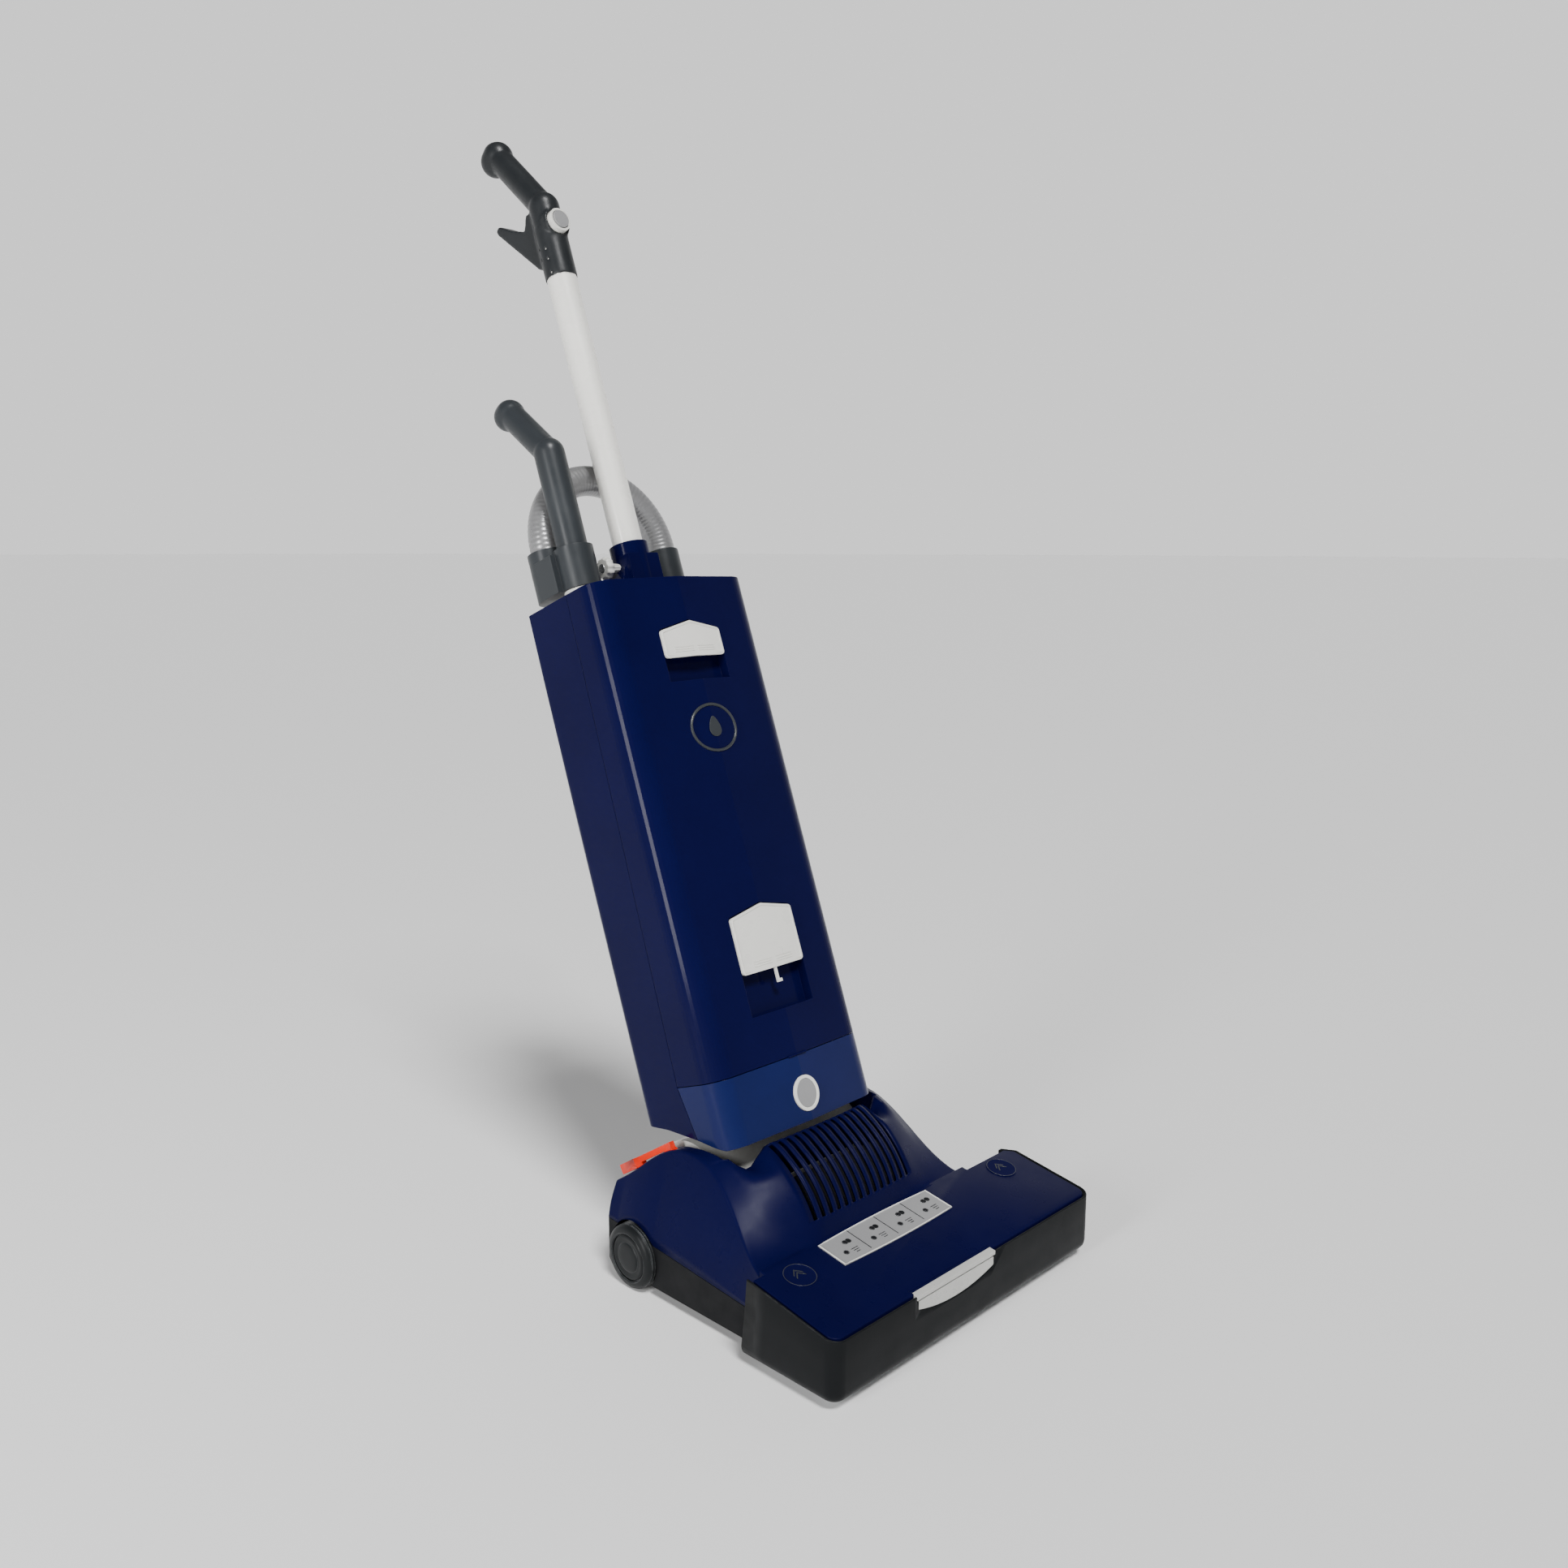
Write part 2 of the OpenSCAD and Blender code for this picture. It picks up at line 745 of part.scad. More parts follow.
module panel_plan(inset) {
    half = 77.6;
    low = 68;
    high = 102.5;
    bow = 2;
    steps = 8;
    polygon(concat(
        [for (i = [0:steps]) let (t = i / steps * 2 - 1)
            [t * (half - inset), low + inset - bow * (1 - t * t)]],
        [for (i = [steps:-1:0]) let (t = i / steps * 2 - 1)
            [t * (half - inset), high - inset + bow * (1 - t * t)]]
    ));
}

module wing_disc(u, y, r, low, high) {
    mid() translate([u, y, wing_z(y)]) rotate([atan(slope), 0, 0])
        translate([0, 0, low]) cylinder(r = r, h = high - low);
}

module indicator_panel() {
    color(panel_grey) mid() translate([0, 0, wing_front_h]) rotate([atan(slope), 0, 0])
        translate([0, 0, 0.05]) {
            linear_extrude(0.9) panel_plan(0);
            linear_extrude(1.2) difference() {
                panel_plan(0);
                panel_plan(1.4);
            }
        }
}

module indicator_lamps() {
    color(rubber) for (i = [0:3]) {
        u = -57 + i * 38;
        wing_disc(u - 6, 79, 1.9, 1, 1.5);
        wing_disc(u + 4, 90, 1.9, 1, 1.5);
    }
}

module round_mark(x) {
    head() translate([x, 82, wing_z(82)]) rotate([atan(slope), 0, 0]) difference() {
        translate([0, 0, 0.05]) cylinder(r = 15.8, h = 0.5);
        translate([0, 0, 0.3]) cylinder(r = 14.3, h = 1);
    }
}
module round_mark_left() {
    color(navy) round_mark(-150);
}
module round_mark_right() {
    color(navy) round_mark(150);
}

module foot_pedal() {
    color(pedal_red) mid() translate([0, pedal_y, pedal_z]) difference() {
        union() {
            rotate([-pedal_angle, 0, 0]) {
                pedal_box([0, -3, 0], [pedal_arm_w, 12, 11.3]);
                pedal_box([0, 3, 5.3], [pedal_arm_w, 64, 6]);
                pedal_box([0, 50, 1.5], [pedal_pad_w, 25, 9.8]);
            }
            rod_x(6, -pedal_in - pedal_arm_w, -pedal_in);
        }
        rod_x(3 + play, -pedal_in - 20, -pedal_in + 5);
    }
}

module pedal_pin() {
    color(steel) mid() translate([0, pedal_y, pedal_z]) rod_x(3, -pedal_in - 8.3, -well_w - 0.4);
}

module neck_pin(side) {
    mid() mirror([side < 0 ? 1 : 0, 0, 0]) translate([0, pivot_y, pivot_z]) {
        rod_x(pivot_pin_r, drum_w - 14, well_w + wall + 6.5);
        rod_x(pivot_pin_r + 4, well_w + wall + 5.7, well_w + wall + 9);
    }
}
module neck_pin_left() {
    color(steel) neck_pin(-1);
}
module neck_pin_right() {
    color(steel) neck_pin(1);
}

module suction_duct() {
    outside = [[wing_d + 4, 15], [184, 15], [212, 50], [203, 60], [168, 46], [wing_d + 4, 46]];
    inside = [[wing_d, 18], [182.5, 18], [214, 57], [206, 66], [169, 43], [wing_d, 43]];
    color(rubber) mid() translate([duct_u, 0, 0]) difference() {
        along_x(43, outside);
        along_x(37, inside);
    }
}

// ---- upright ----

// The drum turns on the two pins in the head; its tongue carries the upright
module neck() {
    foot = [[72, -30], [112, -30], [112, 29], [100, 26.6], [72, 19]];
    color(cream) difference() {
        union() {
            mid() translate([0, pivot_y, pivot_z]) rod_x(drum_r, -drum_w, drum_w);
            lean() along_x(110, foot);
            lean() difference() {
                along_x(150, [[62, 8], [116, 8], [116, 30.2], [90, 24.2], [62, 15.4]]);
                along_x(200, [[60, -10], [118, -10], [118, 21], [60, 8]]);
            }
        }
        mid() translate([0, pivot_y, pivot_z]) {
            rod_x(drum_r - 5, -drum_w + 18, drum_w - 18);
            rod_x(pivot_pin_r + play, -drum_w - 1, drum_w + 1);
        }
    }
}

module body_plan(inset) {
    r = front_corner_r;
    cx = body_w - r;
    cy = 26.3;
    q = rear_corner_r;
    half = concat(
        arc(cx, cy, r - inset, -86, 0, 10),
        arc(body_w - q, body_d - q, q - inset, 0, 90, 6)
    );
    polygon(concat([[0, -keel + inset]], half, flip(half)));
}

// Side view of the body's foot: everything under it is cut away
module below_foot(lift) {
    along_x(far, [
        [-50, -50], [200, -50], [200, 33 + lift], [126, 32 + lift], [90, 25 + lift],
        [50, 13 + lift], [14, lift], [-50, lift]
    ]);
}

module behind_back(inset) {
    along_x(far, [
        [body_d - inset, 0], [body_d + 60, 0], [body_d + 60, body_h + 10],
        [body_d - body_taper - inset, body_h]
    ]);
}

module body_solid(inset, low, high) {
    difference() {
        translate([0, 0, low]) linear_extrude(high - low) body_plan(inset);
        behind_back(inset);
    }
}

// Everything forward of the side seam
module front_half(gap) {
    along_x(far, [
        [-50, -60], [seam_low - 11 - gap, -60], [seam_low - 11 - gap, 14], [seam_low - gap, band_h],
        [seam_high - gap, body_h], [seam_high - gap, body_h + 60], [-50, body_h + 60]
    ]);
}

// Skin that closes the foot behind the lower cover
module foot_floor() {
    intersection() {
        body_solid(wall - 0.5, 0, 60);
        translate([-far / 2, seam_low - 10, 0]) cube([far, far, far]);
        difference() {
            below_foot(2 * wall);
            below_foot(wall);
        }
    }
}

module rear_housing() {
    color(navy) lean() difference() {
        union() {
            difference() {
                body_solid(0, 0, body_h);
                body_solid(wall, -10, body_h - 5);
                front_half(0);
            }
            intersection() {
                body_solid(wall + 0.4, body_h - 5, body_h);
                translate([-far / 2, deck_lip + seam, 0]) cube([far, far, far * 2]);
            }
            foot_floor();
        }
        below_foot(0);
        translate([wand_u, wand_d, 0]) cylinder(r = 20.3, h = body_h + 10);
        translate([hose_u, hose_d, body_h - 10]) cylinder(r = 19.3, h = 20);
        translate([0, tube_d, body_h - 10]) cylinder(r = tube_r + 0.3, h = 20);
        translate([60, 0, 96]) rod_y(8.2, 100, 140);
        translate([0, 0, 150]) rod_y(6, 100, 140);
    }
}

module lower_cover() {
    color(band_blue) lean() difference() {
        body_solid(0, 0, band_h);
        body_solid(wall, -1, band_h + 1);
        difference() {
            body_solid(-5, -10, band_h + 5);
            front_half(seam);
        }
        below_foot(0);
        translate([0, 0, button_v]) oval_cut(0.4, -20, 20);
        translate([0, hinge_d, door_low]) rod_x(hinge_r + play, -hinge_w - 0.4, hinge_w + 0.4);
    }
}

// Pointed oval seen from the front, width and height from button_size
module oval_cut(grow, from, to) {
    h = button_size[1] / 2 + grow;
    w = button_size[0] / 2 + grow;
    r = (h * h + w * w) / (2 * w);
    translate([0, to, 0]) rotate([90, 0, 0]) linear_extrude(to - from) intersection() {
        translate([r - w, 0]) circle(r = r);
        translate([w - r, 0]) circle(r = r);
        circle(r = h - 0.5);
    }
}

module oval_button() {
    color(cream) lean() translate([0, 0, button_v]) difference() {
        oval_cut(0, -keel - 0.9, 6);
        oval_cut(-3.4, -10, -keel + 1.2);
    }
}

module oval_button_face() {
    color(panel_grey) lean() translate([0, 0, button_v]) oval_cut(-3.6, -keel - 0.5, -keel + 1);
}

// Outline of a latch seen from the front, let out by side and top
module latch_plan(size, side, top) {
    w = size[0] / 2 + side;
    h = size[1] / 2;
    r = 4;
    polygon(concat(
        arc(w - r, -h + r - side, r, 270, 360, 4),
        arc(w - r, h - r + top, r, 10, 80, 4),
        [[0, h + latch_rise + top]],
        arc(-w + r, h - r + top, r, 100, 170, 4),
        arc(-w + r, -h + r - side, r, 180, 270, 4)
    ));
}

// Room for a latch flap and the finger recess below it
module latch_pocket(v, size, recess) {
    depth = pocket_depth - keel;
    translate([-size[0] / 2 - 0.5, -20, v - size[1] / 2 - recess])
        cube([size[0] + 1, 20 + depth, size[1] / 2 + recess]);
    translate([0, depth, v]) rotate([90, 0, 0]) linear_extrude(40) latch_plan(size, 0.5, 1.3);
    translate([0, latch_pin_d, latch_pin_v(v, size)])
        rod_x(latch_pin_r + play, -size[0] / 2 - 2.5, size[0] / 2 + 2.5);
}

module latch_pocket_walls(v, size, recess) {
    translate([-size[0] / 2 - 4, -keel - 2, v - size[1] / 2 - recess - 2.5])
        cube([size[0] + 8, pocket_depth + 4, size[1] + recess + latch_rise + 6.5]);
}

function latch_pin_v(v, size) = v + size[1] / 2 - latch_pin_drop;

// Its knuckle at the foot turns against the lower cover
module bag_door() {
    color(navy) lean() difference() {
        union() {
            difference() {
                body_solid(0, door_low, body_h);
                body_solid(wall, door_low - 1, body_h - wall);
                difference() {
                    body_solid(-5, 0, body_h + 5);
                    front_half(seam);
                }
                translate([-body_w + wall + 0.1, deck_lip, body_h - wall - 1])
                    cube([2 * body_w - 2 * wall - 0.2, 100, 10]);
            }
            translate([0, hinge_d, door_low]) rod_x(hinge_r, -hinge_w, hinge_w);
            intersection() {
                union() {
                    latch_pocket_walls(lower_latch_v, lower_latch, lower_recess);
                    latch_pocket_walls(upper_latch_v, upper_latch, upper_recess);
                }
                body_solid(0.2, door_low, body_h);
            }
        }
        latch_pocket(lower_latch_v, lower_latch, lower_recess);
        latch_pocket(upper_latch_v, upper_latch, upper_recess);
    }
}

// Two flat halves that meet in a forward keel, with pins at the sides
module latch_body(v, size) {
    w = size[0] / 2;
    front = -keel - latch_proud;
    side = front + w * front_slope;
    intersection() {
        translate([0, 40, v]) rotate([90, 0, 0]) linear_extrude(80) latch_plan(size, 0, 0);
        translate([0, 0, v - 60]) linear_extrude(120) polygon([
            [-w, side], [0, front], [w, side],
            [w, side + latch_t], [0, front + latch_t], [-w, side + latch_t]
        ]);
    }
    translate([0, latch_pin_d, latch_pin_v(v, size)]) {
        rod_x(latch_pin_r, -w - 2, -w + 6);
        rod_x(latch_pin_r, w - 6, w + 2);
        both() translate([w - 6, side + 1 - latch_pin_d, -2]) cube([4, latch_pin_d - side, 4]);
    }
}

module upper_latch_flap() {
    color(cream) lean() latch_body(upper_latch_v, upper_latch);
}
module lower_latch_flap() {
    front = -keel - latch_proud;
    low = lower_latch_v - lower_latch[1] / 2;
    color(cream) lean() {
        latch_body(lower_latch_v, lower_latch);
        translate([-1, front + 0.6, low - 12]) cube([2.4, 2.6, 22]);
        translate([-1, front + 0.6, low - 15]) cube([6, 2.6, 3.2]);
    }
}

module emblem_ring() {
    color(panel_grey) lean() translate([0, 0, emblem_v]) rotate([90, 0, 0]) difference() {
        translate([0, 0, 0.5]) linear_extrude(keel) polygon(oval(emblem_size[0], emblem_size[1], 48));
        linear_extrude(20) polygon(oval(emblem_size[0] - 2.5, emblem_size[1] - 2.5, 48));
    }
}

module filter_bag() {
    skin = 1.6;
    color(paper) lean() translate([-44, 14, 92]) difference() {
        union() {
            translate([6, 0, 6]) cube([122, 94, 380]);
            translate([0, 8, 0]) cube([134, 78, 392]);
        }
        translate([6 + skin, skin, 6 + skin]) cube([122 - 2 * skin, 94 - 2 * skin, 380 - 2 * skin]);
        translate([skin, 8 + skin, skin]) cube([134 - 2 * skin, 78 - 2 * skin, 392 - 2 * skin]);
        translate([84, 46, 380]) cylinder(r = 18, h = 20);
    }
}

module bag_plate() {
    color(wand_grey) lean() difference() {
        translate([-30, 16, 488]) cube([124, 92, 5]);
        translate([40, 60, 480]) cylinder(r = 18, h = 20);
    }
}

module riser_duct() {
    color(rubber) lean() translate([wand_u, wand_d, 0]) difference() {
        translate([0, 0, 44]) cylinder(r = 20, h = body_h - 44 - 2);
        translate([0, 0, 50]) cylinder(r = 17.2, h = body_h);
        translate([0, -30, 50]) cube([60, 60, 30]);
    }
}

module tube_socket() {
    color(navy) lean() difference() {
        union() {
            translate([-20, tube_d - 20, body_h + 0.2]) cube([40, 40, socket_v - body_h - 14.2]);
            translate([0, tube_d, body_h + 0.2]) cylinder(r = 20.5, h = socket_v - body_h - 0.2);
            translate([0, tube_d, 0]) along_y(24, [
                [-34, body_h + 0.2], [34, body_h + 0.2], [20, body_h + 30], [-20, body_h + 30]
            ]);
        }
        translate([0, tube_d, body_h + 6]) cylinder(r = tube_r, h = 100);
        translate([0, tube_d, clamp_v]) rod_x(clamp_pin_r + play, -40, 0);
    }
}

module clamp_knob() {
    color(cream) lean() translate([0, tube_d, clamp_v]) {
        rod_x(clamp_pin_r, -32, -tube_r - 0.4);
        rod_x(9.5, -42, -31);
        rod_x(12, -40, -35);
    }
}

module handle_tube() {
    color(tube_white) lean() translate([0, tube_d, 0]) difference() {
        translate([0, 0, body_h + 6.2]) cylinder(r = tube_r, h = grip_v + 40 - body_h - 6.2);
        translate([0, 0, body_h]) cylinder(r = tube_r - 1.6, h = 500);
    }
}

// A round bar with round ends between two points of the upright's middle plane, [d, v]
module bar(a, b, r) {
    run = norm(b - a);
    translate([0, a[0], a[1]]) rotate([-atan2(b[0] - a[0], b[1] - a[1]), 0, 0]) {
        cylinder(r = r, h = run);
        sphere(r = r);
        translate([0, 0, run]) sphere(r = r);
    }
}

module handle_grip() {
    color(handle_grey) lean() difference() {
        union() {
            translate([0, tube_d, grip_v]) cylinder(r = tube_r + 1.2, h = 58);
            bar([tube_d, elbow_v - 22], [tube_d, elbow_v], grip_r + 2.5);
            bar([tube_d, elbow_v], [grip_end_d, grip_end_v], grip_r);
            bar([grip_end_d - 3, grip_end_v - 4], [grip_end_d + 3, grip_end_v - 6], 16.5);
            along_x(20, [[tube_d + 4, grip_v + 10], [80, 930], [133, 997], [135, 1003], [129, 1006],
                [110, 991], [88, 978], [80, 992], [tube_d + 4, elbow_v]]);
            translate([0, tube_d, switch_v]) rod_y(16, -tube_d + switch_d - tube_d + 60, 0);
        }
        translate([0, tube_d, grip_v - 1]) cylinder(r = tube_r, h = 43);
        translate([0, tube_d, switch_v]) rod_y(12.6, -40, -11);
    }
}

module switch_ring() {
    color(tube_white) lean() translate([0, switch_d, switch_v]) difference() {
        rod_y(12.5, -3.5, 6.8);
        rod_y(9.8, -10, 2);
        rod_y(4 + play, -10, 10);
    }
}

module switch_button() {
    color(steel) lean() translate([0, switch_d, switch_v]) {
        rod_y(9.4, -5, -2);
        rod_y(4, -2.1, 4);
    }
}

module cable_hook() {
    color(handle_grey) lean() translate([0, 0, 150]) {
        rod_y(5.95, body_d - 12, body_d + 24);
        rod_y(14, body_d - 2, body_d + 3);
        translate([-11, body_d + 20, -30]) cube([22, 7, 44]);
        rod_y(9, body_d - 15, body_d - 12);
    }
}

module cord_gland() {
    color(rubber) lean() translate([60, 0, 96]) difference() {
        union() {
            rod_y(8, body_d - 12, body_d + 10);
            rod_y(12, body_d - 1.4, body_d + 3);
        }
        rod_y(4, body_d - 20, body_d + 20);
    }
}

module wand_cuff() {
    h = cuff_top_v - cuff_v;
    color(wand_grey) lean() difference() {
        union() {
            translate([wand_u, wand_d, cuff_v]) cylinder(r = 20.5, h = h - 8);
            translate([-hose_u, hose_d, cuff_v]) cylinder(r = 20, h = h);
            translate([-hose_u - 20, wand_d + 6, cuff_v]) cube([43, hose_d - wand_d - 6, h - 12]);
        }
        translate([wand_u, wand_d, cuff_v - 1]) cylinder(r = tube_r + 0.3, h = h + 10);
        translate([-hose_u, hose_d, cuff_v + 10]) cylinder(r = hose_r, h = h);
    }
}

module inlet_collar() {
    color(cream) lean() translate([wand_u, wand_d, body_h - 1.8]) difference() {
        cylinder(r = 19, h = 10.6);
        translate([0, 0, -1]) cylinder(r = tube_r + 0.3, h = 20);
    }
}

module wand() {
    end = [107, 774];
    bore_h = wand_elbow_v - wand_low_v - 20;
    color(wand_grey) lean() translate([wand_u, 0, 0]) difference() {
        union() {
            translate([0, wand_d, wand_low_v]) cylinder(r = tube_r, h = wand_elbow_v - wand_low_v);
            translate([0, wand_d, wand_elbow_v]) sphere(r = tube_r);
            bar([wand_d, wand_elbow_v], end, grip_r);
            bar(end, end + [4, -1], grip_r + 1.5);
        }
        translate([0, wand_d, wand_low_v - 1]) cylinder(r = tube_r - 1.8, h = bore_h);
    }
}

module hose_bend(r) {
    translate([0, 0, hose_v]) rotate([90, 0, 0]) rotate_extrude(angle = 180)
        translate([hose_u, 0]) circle(r = r);
}

module hose() {
    color(hose_silver) lean() translate([0, hose_d, 0]) difference() {
        union() {
            hose_bend(hose_r);
            both() translate([hose_u, 0, cuff_v + 10.2])
                cylinder(r = hose_r, h = hose_v - cuff_v - 10.2);
        }
        hose_bend(hose_r - 3);
        both() translate([hose_u, 0, cuff_v]) cylinder(r = hose_r - 3, h = hose_v - cuff_v);
    }
}

module hose_cuff() {
    color(wand_grey) lean() translate([hose_u, hose_d, 0]) difference() {
        translate([0, 0, body_h - 8]) cylinder(r = 19, h = cuff_top_v - body_h + 8);
        translate([0, 0, cuff_v + 10]) cylinder(r = hose_r, h = 100);
        translate([0, 0, body_h - 20]) cylinder(r = hose_r - 3, h = 100);
    }
}

chassis();
bumper();
top_cover();
exhaust_filter();
sole_plate();
brush_roller();
brush_bristles();
brush_pulley();
brush_end_left();
brush_end_right();
drive_belt();
motor_housing();
motor_rotor();
motor_fan();
wheel_left();
wheel_right();
wheel_cap_left();
wheel_cap_right();
wheel_axle();
caster_left();
caster_right();
caster_axle_left();
caster_axle_right();
front_latch();
latch_strip();
indicator_panel();
indicator_lamps();
round_mark_left();
round_mark_right();
foot_pedal();
pedal_pin();
neck_pin_left();
neck_pin_right();
suction_duct();
neck();
rear_housing();
lower_cover();
oval_button();
oval_button_face();
bag_door();
upper_latch_flap();
lower_latch_flap();
emblem_ring();
filter_bag();
bag_plate();
riser_duct();
tube_socket();
clamp_knob();
handle_tube();
handle_grip();
switch_ring();
switch_button();
cable_hook();
cord_gland();
wand_cuff();
inlet_collar();
wand();
hose();
hose_cuff();
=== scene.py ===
import json
import random
from math import atan, copysign, cos, pi, radians, sin, sqrt

import bmesh
import bpy
from mathutils import Matrix, Vector


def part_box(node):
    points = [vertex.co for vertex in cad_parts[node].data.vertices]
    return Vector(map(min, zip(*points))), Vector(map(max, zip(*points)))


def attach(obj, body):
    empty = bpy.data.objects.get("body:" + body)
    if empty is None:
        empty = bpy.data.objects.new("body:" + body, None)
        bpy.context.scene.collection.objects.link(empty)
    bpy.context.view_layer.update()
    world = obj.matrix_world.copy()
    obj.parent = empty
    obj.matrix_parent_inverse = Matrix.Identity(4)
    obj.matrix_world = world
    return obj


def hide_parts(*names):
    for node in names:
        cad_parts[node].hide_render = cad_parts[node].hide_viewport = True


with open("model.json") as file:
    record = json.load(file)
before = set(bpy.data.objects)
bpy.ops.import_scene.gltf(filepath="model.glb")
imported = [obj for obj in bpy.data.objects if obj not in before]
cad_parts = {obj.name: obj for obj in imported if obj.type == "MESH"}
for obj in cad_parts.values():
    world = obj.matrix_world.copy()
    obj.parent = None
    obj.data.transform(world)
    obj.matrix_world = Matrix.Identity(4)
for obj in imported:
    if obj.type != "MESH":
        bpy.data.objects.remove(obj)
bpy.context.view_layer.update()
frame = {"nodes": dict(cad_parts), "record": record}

# ---------------------------------------------------------------- frame

MM = 0.001
JOINTS = {joint["name"]: joint for joint in frame["record"]["behaviour"]["joints"]}
random.seed(4)

SLOTS = {part["node"]: part["material_slot"] for part in frame["record"]["subparts"]}
BODIES = frame["record"]["behaviour"]["bodies"]
BODY_OF = {name: body for body, names in BODIES.items() for name in names}

# The upright's own axes: sideways, rearwards and up along its lean
SIDE = Vector((1, 0, 0))
UP = Vector(JOINTS["wand_slide"]["axis"]).normalized()
BACK = Vector(JOINTS["release_push"]["axis"]).normalized()
DOOR_HINGE_D = -4.5 * MM
DOOR_HINGE_V = 65.3 * MM
ORIGIN = Vector(JOINTS["door_hinge"]["pos_m"]) - BACK * DOOR_HINGE_D - UP * DOOR_HINGE_V
LEAN = Matrix((SIDE, BACK, UP)).transposed().to_4x4()
LEAN.translation = ORIGIN

# The head's own axes start at the bumper's front, on the floor, in the hump's middle
BUMPER_LOW, BUMPER_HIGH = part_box("bumper")
HEAD = Matrix.Translation((ORIGIN.x, BUMPER_LOW.y, 0))
# Heights and depths in mm: the wing's front edge, its run back to the hump, and the door's keel
WING_FRONT = 66
WING_REAR = 105.0
WING_SLOPE = 18 / WING_REAR
KEEL = 4
FRONT_SLOPE = 0.0668
# The bumper's half width and its middle's offset from the hump's middle, and its corner radius
BUMPER_HALF = (BUMPER_HIGH.x - BUMPER_LOW.x) / 2 / MM
BUMPER_SHIFT = ((BUMPER_HIGH.x + BUMPER_LOW.x) / 2 - ORIGIN.x) / MM
BUMPER_CORNER = 14.0


def lean(u, d, v):
    """A point of the upright, given in mm along its own axes."""
    return LEAN @ Vector((u * MM, d * MM, v * MM))


def head(u, y, z):
    """A point of the head, given in mm from the bumper's front."""
    return HEAD @ Vector((u * MM, y * MM, z * MM))


def wing_z(y):
    """Height in mm of the wing's sloping top."""
    return WING_FRONT + WING_SLOPE * y


# ---------------------------------------------------------------- materials

MATERIALS = {}
# How far from an edge the shading rounds it, and how far its wear reaches
EDGE_LOOK = 0.6 * MM
EDGE_WEAR = 0.9 * MM


def node(tree, kind, **values):
    """A new shader node with its settings."""
    made = tree.nodes.new(kind)
    for key, value in values.items():
        setattr(made, key, value)
    return made


def set_inputs(made, values):
    """A node's own values, by socket name."""
    for name, value in values.items():
        made.inputs[name].default_value = value


def noise(tree, coords, scale, detail=4.0):
    """A noise pattern's value at coords."""
    made = node(tree, "ShaderNodeTexNoise")
    set_inputs(made, {"Scale": scale, "Detail": detail, "Roughness": 0.55})
    tree.links.new(coords, made.inputs["Vector"])
    return made.outputs["Fac"]


def remap(tree, value, low, high, from_low=0.3, from_high=0.7):
    """A value taken from its own span to the span from low to high."""
    made = node(tree, "ShaderNodeMapRange")
    set_inputs(made, {"From Min": from_low, "From Max": from_high, "To Min": low, "To Max": high})
    tree.links.new(value, made.inputs["Value"])
    return made.outputs["Result"]


def mix_colour(tree, factor, low, high):
    """A colour between low and high, each a colour or a socket."""
    made = node(tree, "ShaderNodeMix", data_type="RGBA")
    tree.links.new(factor, made.inputs["Factor"])
    for socket, value in ((made.inputs["A"], low), (made.inputs["B"], high)):
        if isinstance(value, tuple):
            socket.default_value = (*value, 1.0)
        else:
            tree.links.new(value, socket)
    return made.outputs["Result"]


def scaled(colour, factor):
    """A colour made brighter or darker."""
    return tuple(min(1.0, channel * factor) for channel in colour)


def edge_mask(tree, radius):
    """High where the surface turns a corner within radius."""
    bevel = node(tree, "ShaderNodeBevel", samples=4)
    bevel.inputs["Radius"].default_value = radius
    plain = node(tree, "ShaderNodeNewGeometry")
    dot = node(tree, "ShaderNodeVectorMath", operation="DOT_PRODUCT")
    tree.links.new(bevel.outputs["Normal"], dot.inputs[0])
    tree.links.new(plain.outputs["Normal"], dot.inputs[1])
    return remap(tree, dot.outputs["Value"], 0.0, 1.0, 0.985, 0.86)


